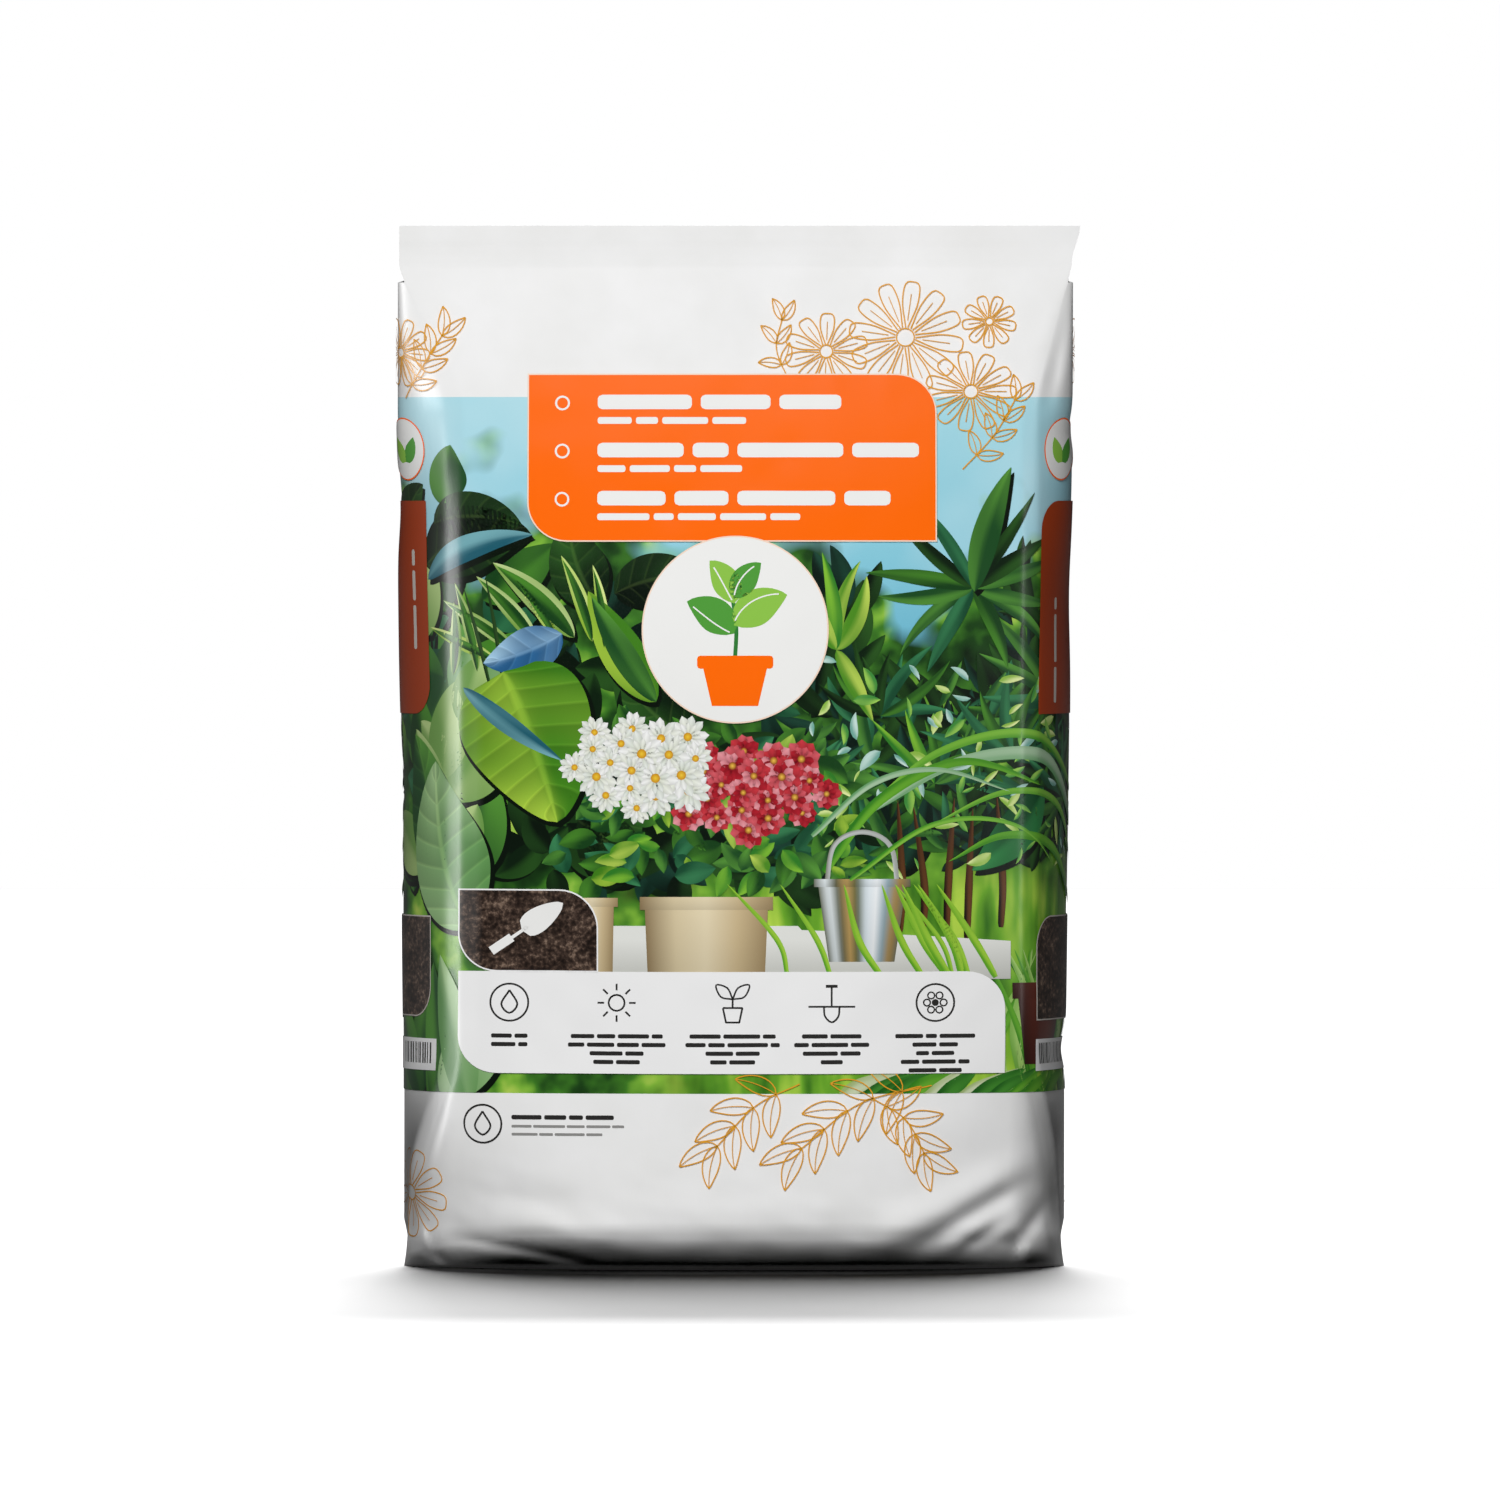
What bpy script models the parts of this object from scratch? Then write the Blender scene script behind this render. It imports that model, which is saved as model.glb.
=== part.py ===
"""A sealed 10 litre compost bag, full and standing on its base.

The bag is one film tube with a gusset down each side. It is welded across the top, where the
weld leaves an upright fin, and across the base, where the fin lies folded flat underneath.
The gussets are popped out at the belly. They tuck in towards both welds, which leaves a
valley under each end of the top fin and a pinched ear at each end of the base.

Metres, +Z up. X runs across the bag, the front face looks along -Y, and the origin is the
middle of the base on the floor.
"""

import math
from collections import namedtuple

import bmesh
import bpy

# The bag's outline
HEIGHT = 0.430          # floor to the lip of the top fin
FIN_HEIGHT = 0.016      # the fin, from the end of the filled body to its lip
WELD_WIDTH = 0.278      # the top weld, from end to end
BODY_SWELL = 0.0005     # each popped gusset stands this far past the weld's end, at the shoulder
FOOT_INSET = 0.0025     # and stays this far inside it just above the foot
BASE_INSET = 0.0025     # each ear of the base stays this far inside it
EAR_SPLAY = 0.0045      # how far the ears run out in the last of the foot
LEAN = 0.0006           # the lip stands this far to the right of the base

# The filled body
FILL_DEPTH = 0.124      # front to back at the middle of the belly
CREASE_DEPTH = 0.085    # front to back between the two creases of a gusset
LEFT_CREASE = 0.023     # a left crease lies this far in from the weld's end, at the belly
RIGHT_CREASE = 0.017    # and a right crease this far
BASE_DEPTH = 0.078      # front to back of the flat base
CREASE_ROUND = 0.0060   # how far to each side a crease is rounded at the belly
FOOT_CREASE_ROUND = 0.011   # the same, on the foot
WELD_ROUND = 0.0015     # and at the welds

# The ends, where the body closes
SHOULDER_HEIGHT = 0.190  # the middle of a face leans in to the top fin over this height
CREASE_SHOULDER = 0.150  # its creases lean in over this height
TOP_TUCK_HEIGHT = 0.060  # the creases run out to the fin over this height
TOP_TUCK = 0.009         # how deep the gussets tuck in under the fin
FOOT_HEIGHT = 0.095      # the creases run out to the base's ears over this height
FOOT_TUCK = 0.001        # how deep the gussets tuck in above the base
FOOT_TUCK_HEIGHT = 0.020 # how far above the base they do so
FOOT_ROUND = 0.028       # height of the curve from the flat base to the upright face

# The welds
FIN_THICKNESS = 0.0014   # the lip, four films that don't quite close
WELD_THICKNESS = 0.0009  # the pressed band
WELD_BAND = 0.009        # height of the pressed band
WELD_DROP = 0.006        # the lip stands this far above the band
FIN_WAVE = 0.0012        # the fin sways this far to the front and the back
FLARE = 0.0035           # the fin's right corner turns out this far
BASE_FIN_WIDTH = 0.016   # the folded fin under the base, from its weld to its lip
BASE_GROOVE = 0.0006     # depth of the lines that show the folded fin

# How full a face is from its middle to its creases: a higher power is flatter in the middle
BELLY_POWER = 2.4
BASE_POWER = 3.0
# How full a gusset is, from its crease to its middle: 1 is flat
GUSSET_POWER = 1.7
TOP_GUSSET_POWER = 2.6
SOIL_LUMP = 0.0010       # the soil's uneven filling moves the faces in and out this far

FACE_COLUMNS = 18        # columns of faces from the middle of a face to its crease
GUSSET_COLUMNS = 5       # from a crease to the gusset's middle
FOOT_ROWS = 21
BELLY_ROWS = 13
TOP_ROWS = 15

FILM_COLOUR = (0.90, 0.90, 0.89, 1.0)
FILM_ROUGHNESS = 0.38

FRONT, BACK = -1, 1
LEFT, RIGHT = -1, 1

# A soft fold of the film. Its two ends are (in from the side edge, away from the base or from
# the lip of the fin). A ridge has a positive height, a valley a negative one.
Fold = namedtuple("Fold", "face side start finish width height")

BASE_FOLDS = (
    # the fan of folds that runs out of the front right ear
    Fold(FRONT, RIGHT, (0.015, 0.044), (0.086, 0.010), 0.0080, 0.0042),
    Fold(FRONT, RIGHT, (0.020, 0.036), (0.061, 0.012), 0.0044, -0.0032),
    Fold(FRONT, RIGHT, (0.013, 0.030), (0.056, 0.007), 0.0056, 0.0024),
    Fold(FRONT, RIGHT, (0.030, 0.019), (0.045, 0.009), 0.0034, -0.0026),
    Fold(FRONT, RIGHT, (0.019, 0.022), (0.032, 0.012), 0.0036, 0.0026),
    Fold(FRONT, RIGHT, (0.012, 0.026), (0.025, 0.005), 0.0030, -0.0036),
    Fold(FRONT, RIGHT, (0.006, 0.009), (0.022, 0.005), 0.0080, 0.0120),
    Fold(FRONT, RIGHT, (0.0075, 0.037), (0.003, 0.007), 0.0024, -0.0040),
    # the long crease along the front left foot, with the ridge above it
    Fold(FRONT, LEFT, (0.042, 0.023), (0.096, 0.013), 0.0070, 0.0024),
    Fold(FRONT, LEFT, (0.024, 0.013), (0.080, 0.003), 0.0026, -0.0026),
    Fold(FRONT, LEFT, (0.010, 0.008), (0.021, 0.002), 0.0024, -0.0036),
    Fold(FRONT, LEFT, (0.003, 0.005), (0.016, 0.009), 0.0075, 0.0100),
    Fold(FRONT, LEFT, (0.040, 0.032), (0.080, 0.021), 0.0080, -0.0014),
    Fold(FRONT, LEFT, (0.006, 0.032), (0.005, 0.011), 0.0024, -0.0046),
    # the back, which folds in the same way
    Fold(BACK, LEFT, (0.015, 0.040), (0.070, 0.012), 0.0070, 0.0034),
    Fold(BACK, LEFT, (0.020, 0.030), (0.058, 0.006), 0.0050, -0.0034),
    Fold(BACK, RIGHT, (0.018, 0.030), (0.066, 0.010), 0.0065, 0.0030),
    Fold(BACK, RIGHT, (0.020, 0.018), (0.090, 0.005), 0.0045, -0.0032),
)
TOP_FOLDS = (
    # the crumple beside the front right gusset
    Fold(FRONT, RIGHT, (0.003, 0.024), (0.016, 0.070), 0.0045, 0.0014),
    Fold(FRONT, RIGHT, (0.001, 0.031), (0.010, 0.072), 0.0036, -0.0032),
    Fold(FRONT, RIGHT, (0.001, 0.045), (0.006, 0.078), 0.0034, 0.0020),
    Fold(FRONT, LEFT, (0.002, 0.026), (0.011, 0.060), 0.0045, -0.0018),
    Fold(BACK, LEFT, (0.004, 0.028), (0.020, 0.068), 0.0050, -0.0026),
    Fold(BACK, RIGHT, (0.004, 0.030), (0.018, 0.070), 0.0050, 0.0020),
)
FOLD_ENDS = 0.25         # the share of a fold's length over which each end fades

# A shallow hollow in the bag's side edge
Hollow = namedtuple("Hollow", "side height depth reach")

HOLLOWS = (
    Hollow(LEFT, 0.314, 0.0014, 0.016),
    Hollow(LEFT, 0.195, 0.0010, 0.034),
    Hollow(RIGHT, 0.346, 0.0014, 0.008),
    Hollow(RIGHT, 0.278, 0.0012, 0.026),
    Hollow(RIGHT, 0.090, 0.0024, 0.008),
)

WELD_HALF = WELD_WIDTH / 2
BODY_HALF = WELD_HALF + BODY_SWELL
FOOT_HALF = WELD_HALF - FOOT_INSET
BASE_HALF = WELD_HALF - BASE_INSET
FIN_FOOT = HEIGHT - FIN_HEIGHT
BAND_TOP = HEIGHT - WELD_DROP
BAND_FOOT = BAND_TOP - WELD_BAND


def clamp(value):
    """The value, held between 0 and 1."""
    return min(1.0, max(0.0, value))


def ease(value):
    """A smooth step from 0 to 1."""
    value = clamp(value)
    return value * value * (3.0 - 2.0 * value)


def mix(low, high, share):
    """The value that lies this share of the way from low to high."""
    return low + (high - low) * share


def fin_half_thickness(z):
    """Half the fin's thickness. The weld is a pressed band between the body and the lip."""
    soft_edge = 0.3 * WELD_BAND
    pressed = ease((z - BAND_FOOT) / soft_edge) * ease((BAND_TOP - z) / soft_edge)
    return mix(FIN_THICKNESS, WELD_THICKNESS, pressed) / 2


def top_closing(z):
    """0 below the top tuck, 1 at the foot of the fin."""
    return clamp((z - (FIN_FOOT - TOP_TUCK_HEIGHT)) / TOP_TUCK_HEIGHT)


def foot_closing(z):
    """0 above the foot, 1 on the floor."""
    return clamp(1.0 - z / FOOT_HEIGHT)


def middle_depth(z):
    """Half the depth at the middle of a face: round at the foot, leaning in at the shoulder."""
    down = clamp((FIN_FOOT - z) / SHOULDER_HEIGHT)
    shoulder = math.sin(math.pi / 2 * down)
    rise = clamp(z / FOOT_ROUND)
    foot = math.sqrt(rise * (2.0 - rise))
    filled = mix(BASE_DEPTH / 2, FILL_DEPTH / 2, foot)
    return mix(fin_half_thickness(z), filled, shoulder)


def crease_depth(z):
    """Half the depth at the creases, which meet at both welds."""
    shoulder = math.sin(math.pi / 2 * clamp((FIN_FOOT - z) / CREASE_SHOULDER)) ** 1.1
    foot = math.sin(math.pi / 2 * (1.0 - foot_closing(z))) ** 0.9
    return mix(fin_half_thickness(z), CREASE_DEPTH / 2, shoulder * foot)


def crease_half_width(side, z):
    """How far out the creases of a side lie. They run out to the ends of both welds."""
    half = mix(face_half_width(side), WELD_HALF, clamp(top_closing(z) / 0.95) ** 1.4)
    foot = foot_closing(z)
    return mix(half, BASE_HALF - EAR_SPLAY, ease(foot / 0.6)) + EAR_SPLAY * foot**3


def gusset_half_width(side, z):
    """How far out the middle of a gusset lies: popped at the belly, tucked at both ends."""
    up = clamp((top_closing(z) - 0.88) / 0.12)
    down = clamp(1.0 - z / FOOT_TUCK_HEIGHT)
    belly = clamp((z - FOOT_HEIGHT) / (FIN_FOOT - TOP_TUCK_HEIGHT - FOOT_HEIGHT))
    half = mix(FOOT_HALF, BODY_HALF, belly)
    half = mix(half, crease_half_width(side, z), ease(max(up, down)))
    return half - TOP_TUCK * math.sin(math.pi * up) - FOOT_TUCK * math.sin(math.pi * down)


def face_half_width(side):
    """From the middle of a face to its crease on this side, at the belly."""
    return WELD_HALF - (LEFT_CREASE if side == LEFT else RIGHT_CREASE)


def face_outline(side, across, z):
    """(x, y) on a quarter of a level section, from the middle of a face to its crease."""
    flatness = mix(BELLY_POWER, BASE_POWER, foot_closing(z))
    fullness = 1.0 - across**flatness
    return crease_half_width(side, z) * across, mix(crease_depth(z), middle_depth(z), fullness)


def gusset_outline(side, across, z):
    """(x, y) on a quarter of a level section, from a crease to the gusset's middle."""
    rounder = mix(GUSSET_POWER, TOP_GUSSET_POWER, math.sin(math.pi * top_closing(z)) ** 2)
    power = mix(rounder, 1.0, ease(foot_closing(z)))
    out = 1.0 - (1.0 - across) ** power
    x = mix(crease_half_width(side, z), gusset_half_width(side, z), out)
    return x, crease_depth(z) * (1.0 - across)


def quarter_outline(side, along, z):
    """(x, y) at a length along the quarter section, with the middle of the face at 0."""
    face, gusset = face_half_width(side), CREASE_DEPTH / 2
    if along <= face:
        return face_outline(side, along / face, z)
    return gusset_outline(side, min(1.0, (along - face) / gusset), z)


def rounded_outline(side, along, z):
    """quarter_outline with its crease rounded, by the mean of the places to each side."""
    radius = mix(CREASE_ROUND, FOOT_CREASE_ROUND, ease(2.0 * foot_closing(z)))
    radius = mix(radius, WELD_ROUND, top_closing(z))
    away = abs(along - face_half_width(side))
    reach = radius * ease(1.0 - away / (2 * radius))
    places = [quarter_outline(side, along + reach * step / 2, z) for step in range(-2, 3)]
    return tuple(sum(values) / len(places) for values in zip(*places))


def fold_height(fold, across, up):
    """How far one fold moves the film at a place given as a fold's ends are."""
    run = [finish - start for start, finish in zip(fold.start, fold.finish)]
    length = math.hypot(*run)
    offset = (across - fold.start[0], up - fold.start[1])
    share = clamp((offset[0] * run[0] + offset[1] * run[1]) / length**2)
    away = math.hypot(offset[0] - share * run[0], offset[1] - share * run[1])
    fade = mix(0.35, 1.0, ease(min(share, 1.0 - share) / FOLD_ENDS))
    return fold.height * fade * math.exp(-((away / fold.width) ** 2))


def film_relief(face, side, x, z):
    """How far the film of a face stands out of its smooth form, from folds and soil."""
    inward = BODY_HALF - x
    folds = [fold_height(f, inward, z) for f in BASE_FOLDS if (f.face, f.side) == (face, side)]
    drop = HEIGHT - z
    folds += [fold_height(f, inward, drop) for f in TOP_FOLDS if (f.face, f.side) == (face, side)]
    lump = math.sin(41.0 * x * side + 17.0 * z + face) * math.sin(23.0 * z + 9.0 * x * side)
    filled = ease((FIN_FOOT - z) / SHOULDER_HEIGHT) * ease(z / FOOT_ROUND)
    return sum(folds) * ease((FIN_FOOT - z) / FOOT_ROUND) + SOIL_LUMP * lump * filled


def side_hollow(side, x, z):
    """How far the hollows of the side edge draw the film in at this place."""
    edge = clamp((x - face_half_width(side)) / (BODY_HALF - face_half_width(side)))
    hollows = [h for h in HOLLOWS if h.side == side]
    return edge * sum(h.depth * math.exp(-(((z - h.height) / h.reach) ** 2)) for h in hollows)


def film_point(face, side, along, z):
    """A point of the film: on the front or the back, left or right of the middle."""
    x, y = rounded_outline(side, along, z)
    y += film_relief(face, side, x, z) * clamp(y / (CREASE_DEPTH / 2))
    x -= side_hollow(side, x, z)
    closed = ease((z - (FIN_FOOT - FOOT_HEIGHT)) / FOOT_HEIGHT)
    sway = FIN_WAVE * math.sin(2 * math.pi * x * side / (0.6 * WELD_WIDTH)) * closed
    corner = ease((z - BAND_FOOT) / (HEIGHT - BAND_FOOT)) * clamp(x / WELD_HALF) ** 12
    flare = FLARE * corner if side == RIGHT else 0.0
    return (x + flare) * side + LEAN * z / HEIGHT, y * face + sway + flare, z


def levels():
    """The heights of the rings, closest together at the foot and under the fin."""
    tuck_foot = FIN_FOOT - TOP_TUCK_HEIGHT
    heights = [FOOT_HEIGHT * (i / FOOT_ROWS) ** 1.2 for i in range(FOOT_ROWS)]
    heights += [mix(FOOT_HEIGHT, tuck_foot, i / BELLY_ROWS) for i in range(BELLY_ROWS)]
    heights += [mix(tuck_foot, FIN_FOOT, i / TOP_ROWS) for i in range(TOP_ROWS)]
    edge = 0.3 * WELD_BAND
    return heights + [FIN_FOOT, BAND_FOOT, BAND_FOOT + edge, BAND_TOP - edge, BAND_TOP, HEIGHT]


def quarter_lengths(side):
    """Lengths along the quarter section: columns lie closer together towards the crease."""
    half = face_half_width(side)
    lengths = []
    for i in range(FACE_COLUMNS):
        share = i / FACE_COLUMNS
        lengths.append(half * (0.6 * share + 0.4 * math.sin(math.pi / 2 * share)))
    step = CREASE_DEPTH / 2 / GUSSET_COLUMNS
    return lengths + [half + step * i for i in range(GUSSET_COLUMNS + 1)]


def ring(bm, z):
    """One closed ring of vertices, from the middle of the front round by the right side."""
    right, left = quarter_lengths(RIGHT), quarter_lengths(LEFT)
    places = [(FRONT, RIGHT, a) for a in right]
    places += [(BACK, RIGHT, a) for a in reversed(right[:-1])]
    places += [(BACK, LEFT, a) for a in left[1:]]
    places += [(FRONT, LEFT, a) for a in reversed(left[1:-1])]
    return [bm.verts.new(film_point(face, side, a, z)) for face, side, a in places]


def bridge(bm, low, high):
    """A band of quads between two rings."""
    for i, vertex in enumerate(low):
        j = (i + 1) % len(low)
        bm.faces.new((vertex, low[j], high[j], high[i]))


def pairs(vertices):
    """The front and back vertices that face each other, from the left gusset to the right."""
    half = len(vertices) // 2
    quarter = half // 2
    front = [vertices[(i - quarter) % len(vertices)] for i in range(half + 1)]
    back = [vertices[(half + quarter - i) % len(vertices)] for i in range(half + 1)]
    return list(zip(front, back))


def close_lip(bm, lip):
    """The thin top of the fin, in quads from its front edge to its back edge."""
    columns = pairs(lip)
    for (front, back), (next_front, next_back) in zip(columns[1:-1], columns[2:-1]):
        bm.faces.new((front, next_front, next_back, back))
    for (end, _), (front, back) in ((columns[0], columns[1]), (columns[-1], columns[-2])):
        order = (end, front, back) if end is columns[0][0] else (back, front, end)
        bm.faces.new(order)


def close_base(bm, floor):
    """The flat base, with the lines of the weld and of the folded fin's lip pressed in."""
    columns = pairs(floor)
    strips = []
    for front, back in columns[1:-1]:
        strip = [front]
        reach = back.co.y
        for y in base_lines(reach):
            height = BASE_GROOVE if abs(y) < 1e-9 or abs(y - BASE_FIN_WIDTH) < 1e-9 else 0.0
            strip.append(bm.verts.new((front.co.x, y, height)))
        strips.append(strip + [back])
    for strip, beside in zip(strips, strips[1:]):
        fill_between(bm, strip, beside)
    for end, strip, turned in ((columns[0][0], strips[0], False), (columns[-1][0], strips[-1], True)):
        for a, b in zip(strip, strip[1:]):
            bm.faces.new((end, a, b) if turned else (end, b, a))


def base_lines(reach):
    """Where a strip across the base has vertices: at the grooves and close beside them."""
    beside = 0.0012
    lines = []
    for groove in (0.0, BASE_FIN_WIDTH):
        if reach > groove + 2 * beside:
            lines += [groove - beside, groove, groove + beside]
    return lines


def fill_between(bm, strip, beside):
    """Faces between two strips of the base, which may differ in how many vertices they hold."""
    i = j = 0
    while i < len(strip) - 1 or j < len(beside) - 1:
        first = i < len(strip) - 1
        second = j < len(beside) - 1
        if first and second and len(strip) - i == len(beside) - j:
            bm.faces.new((strip[i], strip[i + 1], beside[j + 1], beside[j]))
            i, j = i + 1, j + 1
        elif second and (not first or len(beside) - j > len(strip) - i):
            bm.faces.new((strip[i], beside[j + 1], beside[j]))
            j += 1
        else:
            bm.faces.new((strip[i], strip[i + 1], beside[j]))
            i += 1


def film_material():
    """Printed polyethylene film, by its pale ground colour."""
    material = bpy.data.materials.new("printed_film")
    material.use_nodes = True
    shader = material.node_tree.nodes["Principled BSDF"]
    shader.inputs["Base Color"].default_value = FILM_COLOUR
    shader.inputs["Roughness"].default_value = FILM_ROUGHNESS
    shader.inputs["Metallic"].default_value = 0.0
    return material


def centre_on_floor(bm):
    """Move the bag so that the middle of its box stands over the origin."""
    for axis in (0, 1):
        values = [vertex.co[axis] for vertex in bm.verts]
        middle = (min(values) + max(values)) / 2
        for vertex in bm.verts:
            vertex.co[axis] -= middle


def compost_bag():
    """The whole bag as one closed solid."""
    bm = bmesh.new()
    rings = [ring(bm, z) for z in levels()]
    for low, high in zip(rings, rings[1:]):
        bridge(bm, low, high)
    close_lip(bm, rings[-1])
    close_base(bm, rings[0])
    centre_on_floor(bm)
    bmesh.ops.triangulate(bm, faces=bm.faces[:])
    mesh = bpy.data.meshes.new("compost_bag")
    bm.to_mesh(mesh)
    bm.free()
    mesh.materials.append(film_material())
    mesh.shade_smooth()
    mesh.set_sharp_from_angle(angle=math.radians(50))
    bag = bpy.data.objects.new("compost_bag", mesh)
    bpy.context.scene.collection.objects.link(bag)
    return bag


def main():
    for old in list(bpy.data.objects):
        bpy.data.objects.remove(old)
    compost_bag()


main()
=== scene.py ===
"""The look of a sealed compost bag: its film with folds and print, on a white studio floor.

The film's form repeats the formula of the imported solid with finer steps. Every piece of print
lies on it by film coordinates in metres: u runs round the tube from the middle of a face and v
is the height above the floor.
"""

import math
import random
from collections import namedtuple

import bpy
import numpy as np
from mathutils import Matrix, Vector


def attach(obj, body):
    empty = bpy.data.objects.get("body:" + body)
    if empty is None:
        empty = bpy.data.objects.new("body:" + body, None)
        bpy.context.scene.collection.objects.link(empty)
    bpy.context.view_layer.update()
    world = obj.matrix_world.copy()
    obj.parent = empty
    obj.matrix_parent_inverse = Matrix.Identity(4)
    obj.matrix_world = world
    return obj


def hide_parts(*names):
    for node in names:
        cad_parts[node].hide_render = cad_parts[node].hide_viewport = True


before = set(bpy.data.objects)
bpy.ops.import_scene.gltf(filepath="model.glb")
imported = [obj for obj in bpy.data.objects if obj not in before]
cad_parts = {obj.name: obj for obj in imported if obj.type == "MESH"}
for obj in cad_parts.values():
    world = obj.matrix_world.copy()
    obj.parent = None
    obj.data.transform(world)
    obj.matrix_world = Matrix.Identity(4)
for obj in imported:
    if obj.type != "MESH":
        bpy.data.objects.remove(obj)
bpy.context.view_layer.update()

# The bag's outline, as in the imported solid
HEIGHT = 0.430
FIN_HEIGHT = 0.016
WELD_WIDTH = 0.278
BODY_SWELL = 0.0005
FOOT_INSET = 0.0025
BASE_INSET = 0.0025
EAR_SPLAY = 0.0045
LEAN = 0.0006

# The filled body
FILL_DEPTH = 0.124
CREASE_DEPTH = 0.085
LEFT_CREASE = 0.023
RIGHT_CREASE = 0.017
BASE_DEPTH = 0.078
CREASE_ROUND = 0.0060
FOOT_CREASE_ROUND = 0.011
WELD_ROUND = 0.0015

# The ends, where the body closes
SHOULDER_HEIGHT = 0.190
CREASE_SHOULDER = 0.150
TOP_TUCK_HEIGHT = 0.060
TOP_TUCK = 0.009
FOOT_HEIGHT = 0.095
FOOT_TUCK = 0.001
FOOT_TUCK_HEIGHT = 0.020
FOOT_ROUND = 0.028

# The welds
FIN_THICKNESS = 0.0014
WELD_THICKNESS = 0.0009
WELD_BAND = 0.009
WELD_DROP = 0.006
FIN_WAVE = 0.0012
FLARE = 0.0035
BASE_FIN_WIDTH = 0.016
BASE_GROOVE = 0.0006

BELLY_POWER = 2.4
BASE_POWER = 3.0
GUSSET_POWER = 1.7
TOP_GUSSET_POWER = 2.6
SOIL_LUMP = 0.0010
FOLD_ENDS = 0.25

FRONT, BACK = -1, 1
LEFT, RIGHT = -1, 1

Fold = namedtuple("Fold", "face side start finish width height")
Hollow = namedtuple("Hollow", "side height depth reach")

BASE_FOLDS = (
    Fold(FRONT, RIGHT, (0.015, 0.044), (0.086, 0.010), 0.0080, 0.0042),
    Fold(FRONT, RIGHT, (0.020, 0.036), (0.061, 0.012), 0.0044, -0.0032),
    Fold(FRONT, RIGHT, (0.013, 0.030), (0.056, 0.007), 0.0056, 0.0024),
    Fold(FRONT, RIGHT, (0.030, 0.019), (0.045, 0.009), 0.0034, -0.0026),
    Fold(FRONT, RIGHT, (0.019, 0.022), (0.032, 0.012), 0.0036, 0.0026),
    Fold(FRONT, RIGHT, (0.012, 0.026), (0.025, 0.005), 0.0030, -0.0036),
    Fold(FRONT, RIGHT, (0.006, 0.009), (0.022, 0.005), 0.0080, 0.0120),
    Fold(FRONT, RIGHT, (0.0075, 0.037), (0.003, 0.007), 0.0024, -0.0040),
    Fold(FRONT, LEFT, (0.042, 0.023), (0.096, 0.013), 0.0070, 0.0024),
    Fold(FRONT, LEFT, (0.024, 0.013), (0.080, 0.003), 0.0026, -0.0026),
    Fold(FRONT, LEFT, (0.010, 0.008), (0.021, 0.002), 0.0024, -0.0036),
    Fold(FRONT, LEFT, (0.003, 0.005), (0.016, 0.009), 0.0075, 0.0100),
    Fold(FRONT, LEFT, (0.040, 0.032), (0.080, 0.021), 0.0080, -0.0014),
    Fold(FRONT, LEFT, (0.006, 0.032), (0.005, 0.011), 0.0024, -0.0046),
    Fold(BACK, LEFT, (0.015, 0.040), (0.070, 0.012), 0.0070, 0.0034),
    Fold(BACK, LEFT, (0.020, 0.030), (0.058, 0.006), 0.0050, -0.0034),
    Fold(BACK, RIGHT, (0.018, 0.030), (0.066, 0.010), 0.0065, 0.0030),
    Fold(BACK, RIGHT, (0.020, 0.018), (0.090, 0.005), 0.0045, -0.0032),
)
TOP_FOLDS = (
    Fold(FRONT, RIGHT, (0.003, 0.024), (0.016, 0.070), 0.0045, 0.0014),
    Fold(FRONT, RIGHT, (0.001, 0.031), (0.010, 0.072), 0.0036, -0.0032),
    Fold(FRONT, RIGHT, (0.001, 0.045), (0.006, 0.078), 0.0034, 0.0020),
    Fold(FRONT, LEFT, (0.002, 0.026), (0.011, 0.060), 0.0045, -0.0018),
    Fold(BACK, LEFT, (0.004, 0.028), (0.020, 0.068), 0.0050, -0.0026),
    Fold(BACK, RIGHT, (0.004, 0.030), (0.018, 0.070), 0.0050, 0.0020),
)
HOLLOWS = (
    Hollow(LEFT, 0.314, 0.0014, 0.016),
    Hollow(LEFT, 0.195, 0.0010, 0.034),
    Hollow(RIGHT, 0.346, 0.0014, 0.008),
    Hollow(RIGHT, 0.278, 0.0012, 0.026),
    Hollow(RIGHT, 0.090, 0.0024, 0.008),
)

WELD_HALF = WELD_WIDTH / 2
BODY_HALF = WELD_HALF + BODY_SWELL
FOOT_HALF = WELD_HALF - FOOT_INSET
BASE_HALF = WELD_HALF - BASE_INSET
FIN_FOOT = HEIGHT - FIN_HEIGHT
BAND_TOP = HEIGHT - WELD_DROP
BAND_FOOT = BAND_TOP - WELD_BAND
BAND_EDGE = 0.3 * WELD_BAND

# The fine mesh of the film
FACE_COLUMNS = 66
GUSSET_COLUMNS = 24
FOOT_ROWS = 22
BODY_ROWS = 208
FIN_ROWS = 8
COLUMNS_EVEN = 0.75
BASE_LINE_GAP = 0.0012
FILM_REACH = 0.180
FILM_STEP = 0.0005
SAME_PLACE = 1e-9
# v on the base, where nothing is printed
BASE_V, BASE_V_SCALE = -0.02, 0.2
# the map without overlaps: the wall above, the fin's edge below it and the base at its foot
MAP_WALL_FOOT = 0.10
MAP_LIP = (0.25, 0.095)
MAP_BASE = 0.05

# Fine wrinkles, which only the look needs: their heights, and where they lie
SOIL_WRINKLE = 0.00045
CRUMB_WRINKLE = 0.00022
FOOT_WRINKLE = 0.00050
SHOULDER_WRINKLE = 0.00035
FOOT_WRINKLED = 0.060
SHOULDER_WRINKLED = 0.330

# The camera, from the photograph's frame of 1500 by 1500 pixels
FRAME_PIXELS = 1500
METRES_PER_PIXEL = 0.0004135
BAG_MIDDLE = (739, 746)
LENS_MM = 400.0
SENSOR_MM = 36.0
CAMERA_TILT = math.radians(1.0)

# The studio
FLOOR_SIZE = 12.0
FLOOR_BOUNCE = 0.005
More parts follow.
